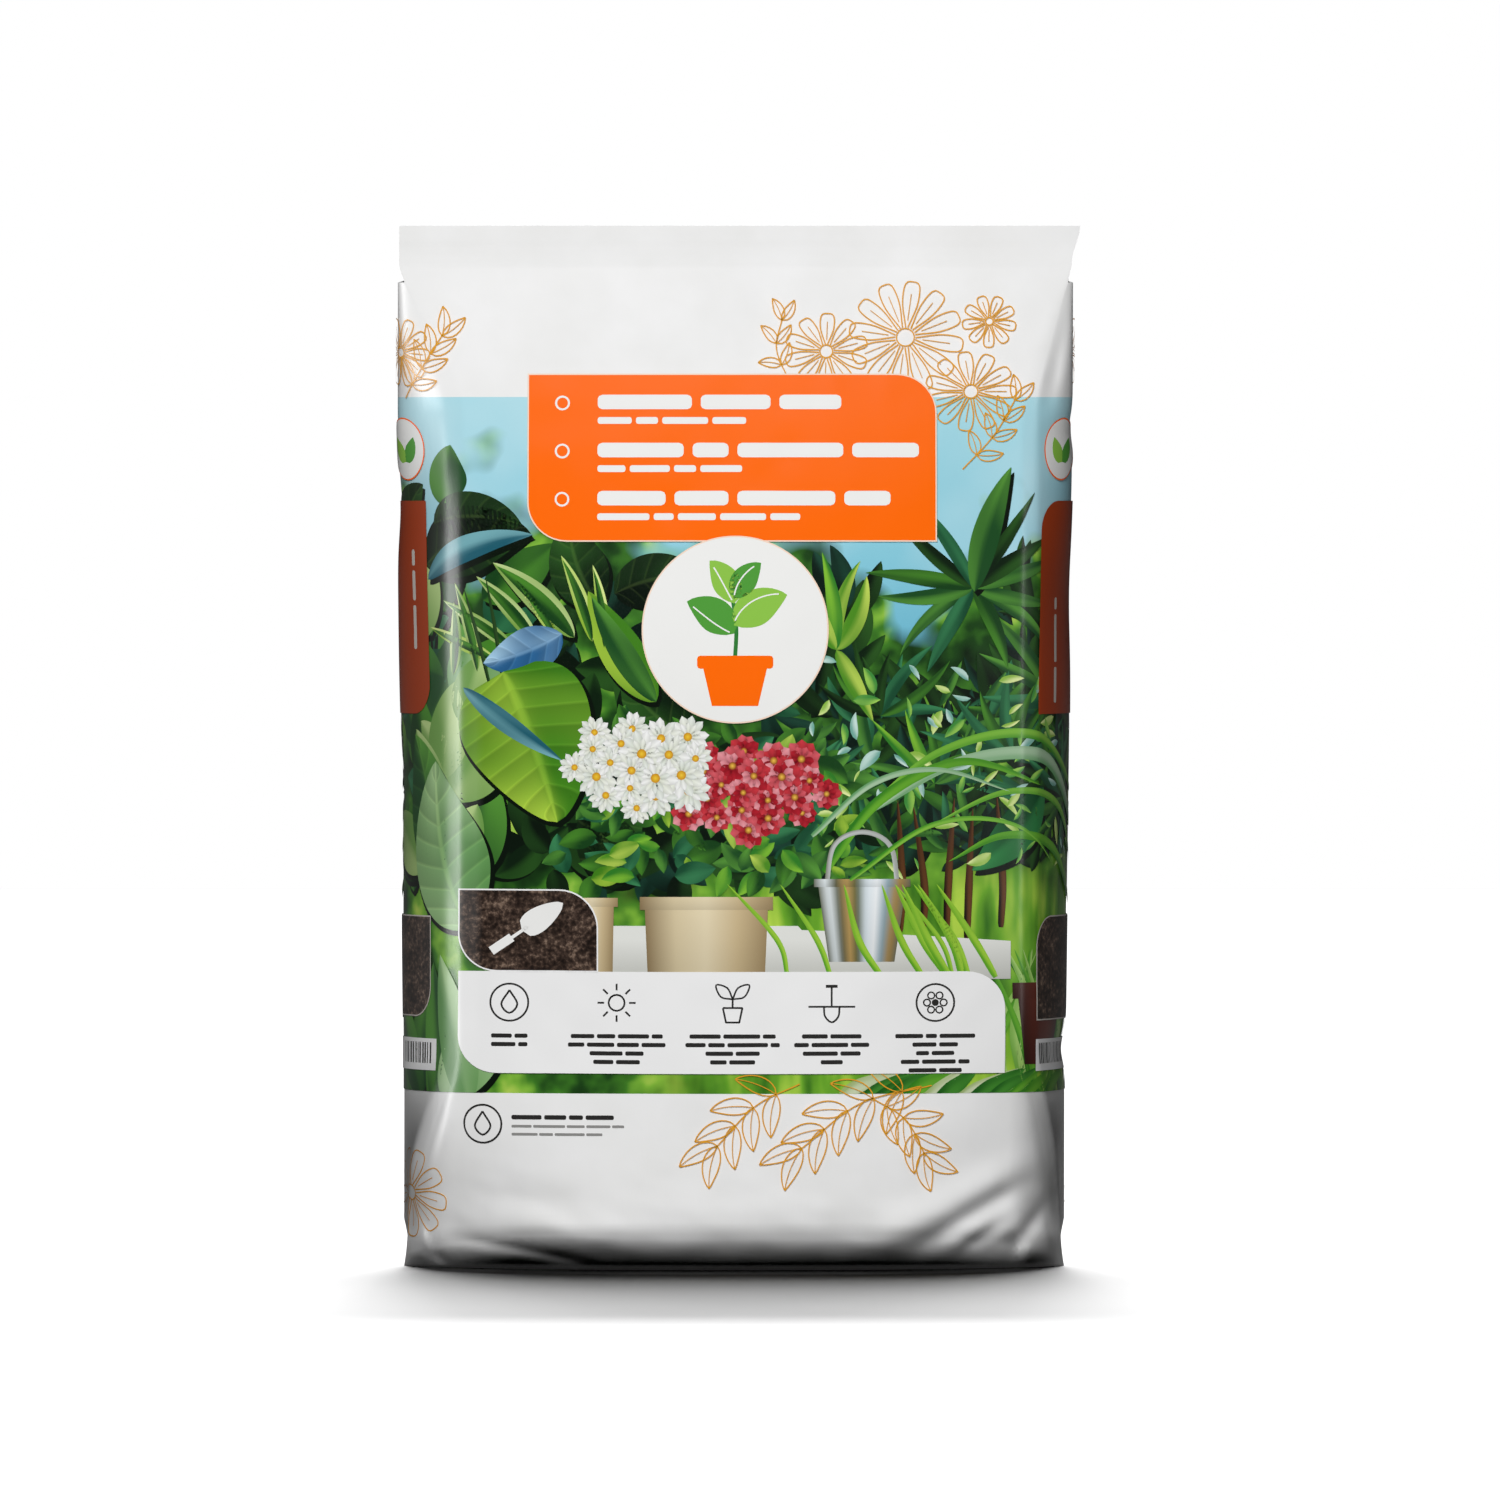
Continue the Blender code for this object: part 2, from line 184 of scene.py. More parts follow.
# each floor sun: its height, its side and its width in degrees, and its light
FLOOR_SUNS = ((66, 0, 32, 0.53), (43, 0, 8, 0.34), (43, -9, 9, 0.13), (43, 9, 9, 0.13),
              (43, -18, 10, 0.06), (43, 18, 10, 0.06))
FLOOR_SEEN = 0.2
KEY_SIDE = math.radians(-9)
KEY_HEIGHT = math.radians(22)
KEY_REACH = 2.6
KEY_FLAG_PLACE = 0.15
KEY_FLAG_HEIGHT = 0.045
LOW_FLAG_GAP = 0.020
LOW_FLAG_MIDDLE = 0.019
LOW_FLAG_END = 0.011
STRIP_FLAG_GAP = 0.013
SIDE_FLAG_PLACE = 0.10
AMBIENT = 0.015
LIGHT_AIM = (0.0, 0.0, 0.22)
KEY_SIZE = (1.0, 0.8)
KEY_POWER = 54.0
FILL_PLACE = (0.3, -2.5, 0.12)
FILL_SIZE = (0.8, 0.8)
FILL_POWER = 13.0
BACK_LAMP_PLACE = (0.2, 2.5, 1.0)
BACK_LAMP_POWER = 50.0
STRIP_SIZE = (0.16, 1.2)
STRIPS = (("left strip", (-1.42, -0.52, 0.3), 21.0), ("right strip", (1.2, -0.75, 0.3), 5.0))
SHEEN_PLACE = (-0.4, -1.2, 2.2)
SHEEN_SIZE = (1.6, 0.5)
SHEEN_POWER = 6.0
# side flags: the inner edge at the foot and the head, the outer edge, the foot and the head
FAR_LEFT, FAR_RIGHT = -0.4, 0.4
KEY_LEFT_FLAG = ((-0.147, -0.132), FAR_LEFT, 0.048, 0.108)
KEY_RIGHT_FLAG = ((0.111, 0.111), FAR_RIGHT, 0.050, 0.112)
FILL_RIGHT_FLAG = ((0.130, 0.130), FAR_RIGHT, 0.020, 0.072)
STRIP_FLAG_OUT = 0.010
STRIP_FLAG_END = -0.4
KEY_FLAG_REACH = 1.2

# The print
PICTURE_TOP_PIXEL = 397
PICTURE_FOOT_PIXEL = 1094
FILM_ROUGHNESS = 0.36
SKY = [(0.0, "5fb0cc"), (0.45, "86c8da"), (1.0, "a6d8e4")]
BUSHES = [(0.30, "0b1b0d"), (0.43, "1d4318"), (0.54, "3f7a26"), (0.64, "7db43c"), (0.76, "c4dc62")]
GRASS = [(0.30, "2f6a18"), (0.50, "69a62a"), (0.70, "b2d64c")]
CLOUD = "d3ecf2"
MILKY = [(0.3, "ebebea"), (0.7, "f1f1f1")]
CRUMBS = [(0.36, "0d0908"), (0.50, "2a201b"), (0.60, "4a3b33"), (0.72, "8a7565")]
# heights and places on the film in metres, each from where a field starts to where it is full
SKY_FOOT = 0.24
HORIZON = (0.318, 0.292)
GRASS_RISE = (0.205, 0.175)
GRASS_START = (-0.05, 0.01)
GRASS_END = (0.29, 0.23)
SKY_GAP = 0.069
SKY_GAP_REACH = 0.034
SKY_GAP_DROP = 0.062


def clamp(value):
    """The value, held between 0 and 1."""
    return np.clip(value, 0.0, 1.0)


def ease(value):
    """A smooth step from 0 to 1."""
    value = clamp(value)
    return value * value * (3.0 - 2.0 * value)


def mix(low, high, share):
    """The value that lies this share of the way from low to high."""
    return low + (high - low) * share


def add_object(name, data):
    """A new object of the scene."""
    item = bpy.data.objects.new(name, data)
    bpy.context.scene.collection.objects.link(item)
    return item


def mesh_values(things, name, width, kind):
    """One property of all of a mesh's vertices, corners or faces."""
    values = np.empty(len(things) * width, dtype=kind)
    things.foreach_get(name, values)
    return values.reshape(-1, width) if width > 1 else values


def side_by_side(a, b):
    """Two grids of values as rows of two."""
    return np.stack([a, b], axis=-1).reshape(-1, 2)


# The smooth form

def fin_half_thickness(z):
    """Half the fin's thickness, with its pressed weld."""
    pressed = ease((z - BAND_FOOT) / BAND_EDGE) * ease((BAND_TOP - z) / BAND_EDGE)
    return mix(FIN_THICKNESS, WELD_THICKNESS, pressed) / 2


def top_closing(z):
    """0 below the top tuck, 1 at the foot of the fin."""
    return clamp((z - (FIN_FOOT - TOP_TUCK_HEIGHT)) / TOP_TUCK_HEIGHT)


def foot_closing(z):
    """0 above the foot, 1 on the floor."""
    return clamp(1.0 - z / FOOT_HEIGHT)


def middle_depth(z):
    """Half the depth at the middle of a face."""
    shoulder = np.sin(math.pi / 2 * clamp((FIN_FOOT - z) / SHOULDER_HEIGHT))
    rise = clamp(z / FOOT_ROUND)
    filled = mix(BASE_DEPTH / 2, FILL_DEPTH / 2, np.sqrt(rise * (2.0 - rise)))
    return mix(fin_half_thickness(z), filled, shoulder)


def crease_depth(z):
    """Half the depth at the creases."""
    shoulder = np.sin(math.pi / 2 * clamp((FIN_FOOT - z) / CREASE_SHOULDER)) ** 1.1
    foot = np.sin(math.pi / 2 * (1.0 - foot_closing(z))) ** 0.9
    return mix(fin_half_thickness(z), CREASE_DEPTH / 2, shoulder * foot)


def face_half_width(side):
    """From the middle of a face to its crease on this side, at the belly."""
    return WELD_HALF - (LEFT_CREASE if side == LEFT else RIGHT_CREASE)


def crease_half_width(side, z):
    """How far out the creases of a side lie."""
    half = mix(face_half_width(side), WELD_HALF, clamp(top_closing(z) / 0.95) ** 1.4)
    foot = foot_closing(z)
    return mix(half, BASE_HALF - EAR_SPLAY, ease(foot / 0.6)) + EAR_SPLAY * foot**3


def gusset_half_width(side, z):
    """How far out the middle of a gusset lies."""
    up = clamp((top_closing(z) - 0.88) / 0.12)
    down = clamp(1.0 - z / FOOT_TUCK_HEIGHT)
    belly = clamp((z - FOOT_HEIGHT) / (FIN_FOOT - TOP_TUCK_HEIGHT - FOOT_HEIGHT))
    half = mix(FOOT_HALF, BODY_HALF, belly)
    half = mix(half, crease_half_width(side, z), ease(np.maximum(up, down)))
    return half - TOP_TUCK * np.sin(math.pi * up) - FOOT_TUCK * np.sin(math.pi * down)


def face_outline(side, across, z):
    """(x, y) on a quarter of a level section, from the middle of a face to its crease."""
    flatness = mix(BELLY_POWER, BASE_POWER, foot_closing(z))
    fullness = 1.0 - across**flatness
    return crease_half_width(side, z) * across, mix(crease_depth(z), middle_depth(z), fullness)


def gusset_outline(side, across, z):
    """(x, y) on a quarter of a level section, from a crease to the gusset's middle."""
    rounder = mix(GUSSET_POWER, TOP_GUSSET_POWER, np.sin(math.pi * top_closing(z)) ** 2)
    power = mix(rounder, 1.0, ease(foot_closing(z)))
    out = 1.0 - (1.0 - across) ** power
    x = mix(crease_half_width(side, z), gusset_half_width(side, z), out)
    return x, crease_depth(z) * (1.0 - across)


def quarter_outline(side, along, z):
    """(x, y) at a length along the quarter section, with the middle of the face at 0."""
    face = face_half_width(side)
    on_face = face_outline(side, clamp(along / face), z)
    on_gusset = gusset_outline(side, clamp((along - face) / (CREASE_DEPTH / 2)), z)
    return [np.where(along <= face, a, b) for a, b in zip(on_face, on_gusset)]


def rounded_outline(side, along, z):
    """quarter_outline with its crease rounded, by the mean of the places to each side."""
    radius = mix(CREASE_ROUND, FOOT_CREASE_ROUND, ease(2.0 * foot_closing(z)))
    radius = mix(radius, WELD_ROUND, top_closing(z))
    away = np.abs(along - face_half_width(side))
    reach = radius * ease(1.0 - away / (2 * radius))
    places = [quarter_outline(side, along + reach * step / 2, z) for step in range(-2, 3)]
    return [sum(values) / len(places) for values in zip(*places)]


def fold_height(fold, across, up):
    """How far one fold moves the film at a place given as a fold's ends are."""
    run = [finish - start for start, finish in zip(fold.start, fold.finish)]
    length = math.hypot(*run)
    offset = (across - fold.start[0], up - fold.start[1])
    share = clamp((offset[0] * run[0] + offset[1] * run[1]) / length**2)
    away = np.hypot(offset[0] - share * run[0], offset[1] - share * run[1])
    fade = mix(0.35, 1.0, ease(np.minimum(share, 1.0 - share) / FOLD_ENDS))
    return fold.height * fade * np.exp(-((away / fold.width) ** 2))


def film_relief(face, side, x, z):
    """How far the film of a face stands out of its smooth form, from folds and soil."""
    inward = BODY_HALF - x
    drop = HEIGHT - z
    folds = [fold_height(f, inward, z) for f in BASE_FOLDS if (f.face, f.side) == (face, side)]
    folds += [fold_height(f, inward, drop) for f in TOP_FOLDS if (f.face, f.side) == (face, side)]
    lump = np.sin(41.0 * x * side + 17.0 * z + face) * np.sin(23.0 * z + 9.0 * x * side)
    filled = ease((FIN_FOOT - z) / SHOULDER_HEIGHT) * ease(z / FOOT_ROUND)
    return sum(folds) * ease((FIN_FOOT - z) / FOOT_ROUND) + SOIL_LUMP * lump * filled


def side_hollow(side, x, z):
    """How far the hollows of the side edge draw the film in at this place."""
    edge = clamp((x - face_half_width(side)) / (BODY_HALF - face_half_width(side)))
    hollows = [h for h in HOLLOWS if h.side == side]
    return edge * sum(h.depth * np.exp(-(((z - h.height) / h.reach) ** 2)) for h in hollows)


def soft_noise(x, y, size, seed):
    """Smooth noise from -1 to 1, with lumps of this size."""
    table = np.random.RandomState(seed).uniform(-1.0, 1.0, (64, 64))
    across, up = x / size + 20.0, y / size + 20.0
    column, row = np.floor(across).astype(int), np.floor(up).astype(int)
    share_x, share_y = ease(across - column), ease(up - row)
    low = mix(table[row % 64, column % 64], table[row % 64, (column + 1) % 64], share_x)
    next_row = (row + 1) % 64
    high = mix(table[next_row, column % 64], table[next_row, (column + 1) % 64], share_x)
    return mix(low, high, share_y)


def wrinkles(face, side, x, z):
    """Fine wrinkles of the film, in metres out of its form."""
    across = x * side + 0.31 * face
    filled = ease((FIN_FOOT - z) / 0.05) * ease(z / 0.012)
    soil = SOIL_WRINKLE * soft_noise(across, z, 0.031, 3)
    soil = soil + CRUMB_WRINKLE * soft_noise(across, z, 0.012, 4)
    foot = ease(1.0 - z / FOOT_WRINKLED)
    shoulder = ease((z - SHOULDER_WRINKLED) / 0.050)
    slant = soft_noise(across + 1.6 * z, z - 0.5 * across, 0.011, 5)
    upright = soft_noise(across * 3.2, z, 0.024, 6)
    pulled = FOOT_WRINKLE * foot * slant + SHOULDER_WRINKLE * shoulder * upright
    return filled * (soil + pulled)


def film_point(face, side, along, z):
    """(x, y, z) of the film: on the front or the back, left or right of the middle."""
    x, y = rounded_outline(side, along, z)
    relief = film_relief(face, side, x, z) + wrinkles(face, side, x, z)
    y = y + relief * clamp(y / (CREASE_DEPTH / 2))
    x = x - side_hollow(side, x, z)
    closed = ease((z - (FIN_FOOT - FOOT_HEIGHT)) / FOOT_HEIGHT)
    sway = FIN_WAVE * np.sin(2 * math.pi * x * side / (0.6 * WELD_WIDTH)) * closed
    corner = ease((z - BAND_FOOT) / (HEIGHT - BAND_FOOT)) * clamp(x / WELD_HALF) ** 12
    flare = FLARE * corner if side == RIGHT else 0.0
    x = (x + flare) * side + LEAN * z / HEIGHT
    return np.stack([x, y * face + sway + flare, z + 0.0 * x], axis=-1)


def quarter_lengths(side):
    """Lengths along the quarter section at the mesh's columns."""
    half = face_half_width(side)
    share = np.arange(FACE_COLUMNS) / FACE_COLUMNS
    face = half * mix(np.sin(math.pi / 2 * share), share, COLUMNS_EVEN)
    gusset = half + CREASE_DEPTH / 2 * np.arange(GUSSET_COLUMNS + 1) / GUSSET_COLUMNS
    return np.concatenate([face, gusset])


def levels():
    """The heights of the mesh's rows."""
    foot = FOOT_ROUND * (1.0 - np.cos(math.pi / 2 * np.arange(FOOT_ROWS) / FOOT_ROWS))
    body = np.linspace(FOOT_ROUND, FIN_FOOT, BODY_ROWS, endpoint=False)
    band = [BAND_FOOT, BAND_FOOT + BAND_EDGE, BAND_TOP - BAND_EDGE, BAND_TOP]
    fin = sorted(band + list(np.linspace(FIN_FOOT, HEIGHT, FIN_ROWS)))
    return np.concatenate([foot, body, fin])


LEVELS = levels()


def half_grid(face):
    """(rows, columns, 3) of a face and its halves of the gussets, from left to right."""
    z = LEVELS[:, None]
    left = film_point(face, LEFT, quarter_lengths(LEFT)[None, :], z)
    right = film_point(face, RIGHT, quarter_lengths(RIGHT)[None, :], z)
    return np.concatenate([left[:, :0:-1], right], axis=1)


def film_lengths(grid):
    """The film coordinate u of each place of a grid, with 0 at the middle of the face."""
    steps = np.diff(grid[:, :, :2], axis=1)
    lengths = np.cumsum(np.hypot(steps[..., 0], steps[..., 1]), axis=1)
    lengths = np.concatenate([np.zeros((len(grid), 1)), lengths], axis=1)
    middle = grid.shape[1] // 2
    return lengths - lengths[:, middle : middle + 1]


def grid_normals(grid, face):
    """The outward normal at each place of a grid."""
    across = np.gradient(grid, axis=1)
    up = np.gradient(grid, axis=0)
    normals = np.cross(across, up) * (1.0 if face == FRONT else -1.0)
    return normals / np.maximum(np.linalg.norm(normals, axis=2, keepdims=True), 1e-12)


GRIDS = {face: half_grid(face) for face in (FRONT, BACK)}
EDGES = np.concatenate([g[..., :2].reshape(-1, 2) for g in GRIDS.values()])
OFF_CENTRE = (EDGES.max(axis=0) + EDGES.min(axis=0)) / 2
for face_grid in GRIDS.values():
    face_grid[..., :2] -= OFF_CENTRE
LENGTHS = {face: film_lengths(GRIDS[face]) for face in GRIDS}
NORMALS = {face: grid_normals(GRIDS[face], face) for face in GRIDS}


def evened(face):
    """The places and normals of a face at even steps of u, for laying print on it."""
    at = np.arange(-FILM_REACH, FILM_REACH + FILM_STEP / 2, FILM_STEP)
    both = np.concatenate([GRIDS[face], NORMALS[face]], axis=2)
    table = np.empty((len(LEVELS), len(at), 6))
    for row, lengths in enumerate(LENGTHS[face]):
        for axis in range(6):
            table[row, :, axis] = np.interp(at, lengths, both[row, :, axis])
    return table


EVENED = {face: evened(face) for face in (FRONT, BACK)}


def on_film(face, u, v):
    """(places, normals) on the film at these film coordinates."""
    table = EVENED[face]
    column = np.clip((u + FILM_REACH) / FILM_STEP, 0, table.shape[1] - 1.001)
    row = np.interp(v, LEVELS, np.arange(len(LEVELS)))
    row = np.clip(row, 0, len(LEVELS) - 1.001)
    i, j = row.astype(int), column.astype(int)
    share_i, share_j = (row - i)[:, None], (column - j)[:, None]
    low = mix(table[i, j], table[i, j + 1], share_j)
    high = mix(table[i + 1, j], table[i + 1, j + 1], share_j)
    found = mix(low, high, share_i)
    normals = found[:, 3:]
    return found[:, :3], normals / np.linalg.norm(normals, axis=1, keepdims=True)


# The camera, and the photograph's pixel that each place falls on

CAMERA_DISTANCE = LENS_MM / SENSOR_MM * FRAME_PIXELS * METRES_PER_PIXEL
AIM = Vector((
    (FRAME_PIXELS / 2 - BAG_MIDDLE[0]) * METRES_PER_PIXEL,
    0.0,
    HEIGHT / 2 - (FRAME_PIXELS / 2 - BAG_MIDDLE[1]) * METRES_PER_PIXEL,
))
CAMERA_PLACE = AIM + CAMERA_DISTANCE * Vector(
    (0.0, -math.cos(CAMERA_TILT), math.sin(CAMERA_TILT))
)


def make_camera():
    """The camera, as the photograph was taken."""
    data = bpy.data.cameras.new("camera")
    data.lens = LENS_MM
    data.sensor_width = SENSOR_MM
    data.clip_end = 50.0
    camera = add_object("camera", data)
    camera.location = CAMERA_PLACE
    camera.rotation_euler = (AIM - CAMERA_PLACE).to_track_quat("-Z", "Y").to_euler()
    bpy.context.scene.camera = camera


def seen_pixels(places):
    """The photograph's pixel (x, y) of each place."""
    to_camera = places - np.array(CAMERA_PLACE)
    forward = np.array((AIM - CAMERA_PLACE).normalized())
    upward = np.array([0.0, math.sin(CAMERA_TILT), math.cos(CAMERA_TILT)])
    depth = to_camera @ forward
    scale = LENS_MM / SENSOR_MM * FRAME_PIXELS / depth
    x = FRAME_PIXELS / 2 + to_camera[..., 0] * scale
    y = FRAME_PIXELS / 2 - (to_camera @ upward) * scale
    return np.stack([x, y], axis=-1)


SEEN = seen_pixels(EVENED[FRONT][..., :3])


# Nodes

def srgb(text):
    """A linear colour from its six hex digits."""
    values = [int(text[i : i + 2], 16) / 255 for i in (0, 2, 4)]
    return [v / 12.92 if v <= 0.04045 else ((v + 0.055) / 1.055) ** 2.4 for v in values] + [1.0]


class Tree:
    """Short ways to add nodes to one material."""

    def __init__(self, name):
        self.material = bpy.data.materials.new(name)
        self.material.use_nodes = True
        self.nodes = self.material.node_tree.nodes
        self.links = self.material.node_tree.links
        self.shader = self.nodes["Principled BSDF"]

    def plug(self, value, socket):
        if isinstance(value, bpy.types.NodeSocket):
            self.links.new(value, socket)
        else:
            socket.default_value = value

    def math(self, operation, *values, clamped=False):
        node = self.nodes.new("ShaderNodeMath")
        node.operation = operation
        node.use_clamp = clamped
        for value, socket in zip(values, node.inputs):
            self.plug(value, socket)
        return node.outputs[0]

    def vector(self, operation, *values):
        node = self.nodes.new("ShaderNodeVectorMath")
        node.operation = operation
        for value, socket in zip(values, node.inputs):
            self.plug(value, socket)
        return node.outputs[0]

    def blend(self, share, low, high):
        node = self.nodes.new("ShaderNodeMix")
        node.data_type = "RGBA"
        self.plug(share, node.inputs[0])
        self.plug(low, node.inputs[6])
        self.plug(high, node.inputs[7])
        return node.outputs[2]

    def ramp(self, share, stops):
        node = self.nodes.new("ShaderNodeValToRGB")
        elements = node.color_ramp.elements
        elements.remove(elements[1])
        elements[0].position, elements[0].color = stops[0][0], srgb(stops[0][1])
        for place, colour in stops[1:]:
            elements.new(place).color = srgb(colour)
        self.plug(share, node.inputs[0])
        return node.outputs[0]

    def step(self, value, low, high):
        """0 at low and 1 at high, in a straight line."""
        node = self.nodes.new("ShaderNodeMapRange")
        for given, socket in zip((value, low, high), node.inputs):
            self.plug(given, socket)
        return node.outputs[0]

    def map(self, name):
        node = self.nodes.new("ShaderNodeUVMap")
        node.uv_map = name
        return node.outputs[0]

    def split(self, vector):
        node = self.nodes.new("ShaderNodeSeparateXYZ")
        self.plug(vector, node.inputs[0])
        return node.outputs[0], node.outputs[1]

    def join(self, x, y):
        node = self.nodes.new("ShaderNodeCombineXYZ")
        self.plug(x, node.inputs[0])
        self.plug(y, node.inputs[1])
        return node.outputs[0]

    def noise(self, vector, scale, detail=2.0, rough=0.5):
        node = self.nodes.new("ShaderNodeTexNoise")
        self.plug(vector, node.inputs["Vector"])
        node.inputs["Scale"].default_value = scale
        node.inputs["Detail"].default_value = detail
        node.inputs["Roughness"].default_value = rough
        return node.outputs[0]

    def streaks(self, u, v, scales, detail):
        """Noise with a scale of its own across and up the film."""
        across, up = [self.math("MULTIPLY", value, scale) for value, scale in zip((u, v), scales)]
        return self.noise(self.join(across, up), 1.0, detail)

    def bump(self, height, distance, strength):
        node = self.nodes.new("ShaderNodeBump")
        node.inputs["Strength"].default_value = strength
        node.inputs["Distance"].default_value = distance
        self.plug(height, node.inputs["Height"])
        self.links.new(node.outputs[0], self.shader.inputs["Normal"])

    def finish(self, rough, specular=0.5):
        self.shader.inputs["Roughness"].default_value = rough
        self.shader.inputs["Specular IOR Level"].default_value = specular
        return self.material


# The film

def sky_nodes(tree, place, v):
    """A pale sky with clouds."""
    clouds = tree.step(tree.noise(place, 11.0, 3.0), 0.42, 0.72)
    sky = tree.ramp(tree.step(v, SKY_FOOT, PICTURE_TOP), SKY)
    return tree.blend(tree.math("MULTIPLY", clouds, 0.5), sky, srgb(CLOUD))


def garden_nodes(tree, place, lumps, u, v):
    """Blurred bushes, with blurred grass low down on the front's right."""
    bushes = tree.ramp(tree.noise(place, 46.0, 2.5, 0.55), BUSHES)
    grass = tree.ramp(tree.streaks(u, v, (90.0, 22.0), 2.0), GRASS)
    low = tree.step(tree.math("MULTIPLY_ADD", lumps, 0.05, v), *GRASS_RISE)
    low = tree.math("MULTIPLY", low, tree.step(u, *GRASS_START))
    low = tree.math("MULTIPLY", low, tree.step(u, *GRASS_END))
    return tree.blend(low, bushes, grass)


def garden_edge(tree, lumps, u, v):
    """v with the garden's lumpy edge, and the gap where the sky comes lower."""
    edge = tree.math("MULTIPLY_ADD", tree.math("SUBTRACT", lumps, 0.5), 0.16, v)
    away = tree.math("ABSOLUTE", tree.math("SUBTRACT", u, SKY_GAP))
    gap = tree.math("SUBTRACT", 1.0, tree.math("DIVIDE", away, SKY_GAP_REACH), clamped=True)
    return tree.math("MULTIPLY_ADD", gap, SKY_GAP_DROP, edge)


def white_film():
    """White film with the blurred garden of the picture band, all round the bag."""
    tree = Tree("film")
    place = tree.map("film")
    u, v = tree.split(place)
    lumps = tree.noise(place, 24.0, 2.0)
    garden = garden_nodes(tree, place, lumps, u, v)
    share = tree.step(garden_edge(tree, lumps, u, v), *HORIZON)
    picture = tree.blend(share, sky_nodes(tree, place, v), garden)
    inside = tree.math("MULTIPLY", tree.math("GREATER_THAN", v, PICTURE_FOOT),
                       tree.math("LESS_THAN", v, PICTURE_TOP))
    milky = tree.ramp(tree.noise(place, 34.0, 3.0), MILKY)
    tree.links.new(tree.blend(inside, milky, picture), tree.shader.inputs["Base Color"])
    tree.bump(tree.streaks(u, v, (260.0, 90.0), 3.0), 0.00012, 0.5)
    return tree.finish(FILM_ROUGHNESS)


def ring_index(columns):
    """For each column of the ring round the bag, its face's grid and its column there."""
    front = [(FRONT, c) for c in range(columns)]
    back = [(BACK, c) for c in range(columns - 2, 0, -1)]
    return front + back


def base_lines(reach):
    """Where a strip across the base has vertices: at its grooves and close beside them."""
    lines = []
    for groove in (0.0, BASE_FIN_WIDTH):
        if reach > groove + 2 * BASE_LINE_GAP:
            lines += [groove - BASE_LINE_GAP, groove, groove + BASE_LINE_GAP]
    return lines


def fill_between(strip, beside):
    """Faces between two strips of the base, which may differ in how many vertices they hold."""
    faces = []
    i = j = 0
    while i < len(strip) - 1 or j < len(beside) - 1:
        left, right = len(strip) - i, len(beside) - j
        if left == right:
            faces.append((strip[i], strip[i + 1], beside[j + 1], beside[j]))
            i, j = i + 1, j + 1
        elif right > left:
            faces.append((strip[i], beside[j + 1], beside[j]))
            j += 1
        else:
            faces.append((strip[i], strip[i + 1], beside[j]))
            i += 1
    return faces


def wall_faces(count, rows):
    """Faces of the film's wall, row by row."""
    faces = []
    for r in range(rows - 1):
        for c in range(count):
            d = (c + 1) % count
            faces.append((r * count + c, r * count + d, (r + 1) * count + d, (r + 1) * count + c))
    return faces


def lip_faces(pairs, top, last):
    """Faces along the fin's upper edge, between the front and the back."""
    faces = []
    for (front, back), (next_front, next_back) in zip(pairs, pairs[1:]):
        faces.append((top + front, top + next_front, top + next_back, top + back))
    faces.append((top, top + pairs[0][0], top + pairs[0][1]))
    faces.append((top + pairs[-1][1], top + pairs[-1][0], top + last))
    return faces


def base_strips(pairs, places, vertices):
    """Rows of vertices across the base, each with new vertices at the grooves."""
    strips = []
    for front, back in pairs:
        strip = [front]
        for y in base_lines(min(-places[front][1], places[back][1])):
            groove = min(abs(y), abs(y - BASE_FIN_WIDTH)) < SAME_PLACE
            vertices.append((places[front][0], y, BASE_GROOVE if groove else 0.0))
            strip.append(len(vertices) - 1)
        strips.append(strip + [back])
    return strips


def base_faces(strips, last):
    """Faces between the strips of the base, and at its two ends."""
    faces = []
    for strip, beside in zip(strips, strips[1:]):
        faces += fill_between(strip, beside)
    faces += [(0, b, a) for a, b in zip(strips[0], strips[0][1:])]
    faces += [(last, a, b) for a, b in zip(strips[-1], strips[-1][1:])]
    return faces


def film_mesh():
    """The whole film as one closed mesh, with its film coordinates and a map of its own."""
    columns = GRIDS[FRONT].shape[1]
    ring = ring_index(columns)
    count, rows = len(ring), len(LEVELS)
    places = np.stack([GRIDS[f][:, c] for f, c in ring], axis=1).reshape(-1, 3)
    vertices = [tuple(p) for p in places]
    pairs = [(c, (count - c) % count) for c in range(1, columns - 1)]
    strips = base_strips(pairs, places, vertices)
    faces = wall_faces(count, rows) + lip_faces(pairs, (rows - 1) * count, columns - 1)
    faces += base_faces(strips, columns - 1)
    mesh = bpy.data.meshes.new("bag_film")
    mesh.from_pydata(vertices, [], faces)
    lay_maps(mesh, ring, count, rows, columns)
    return mesh


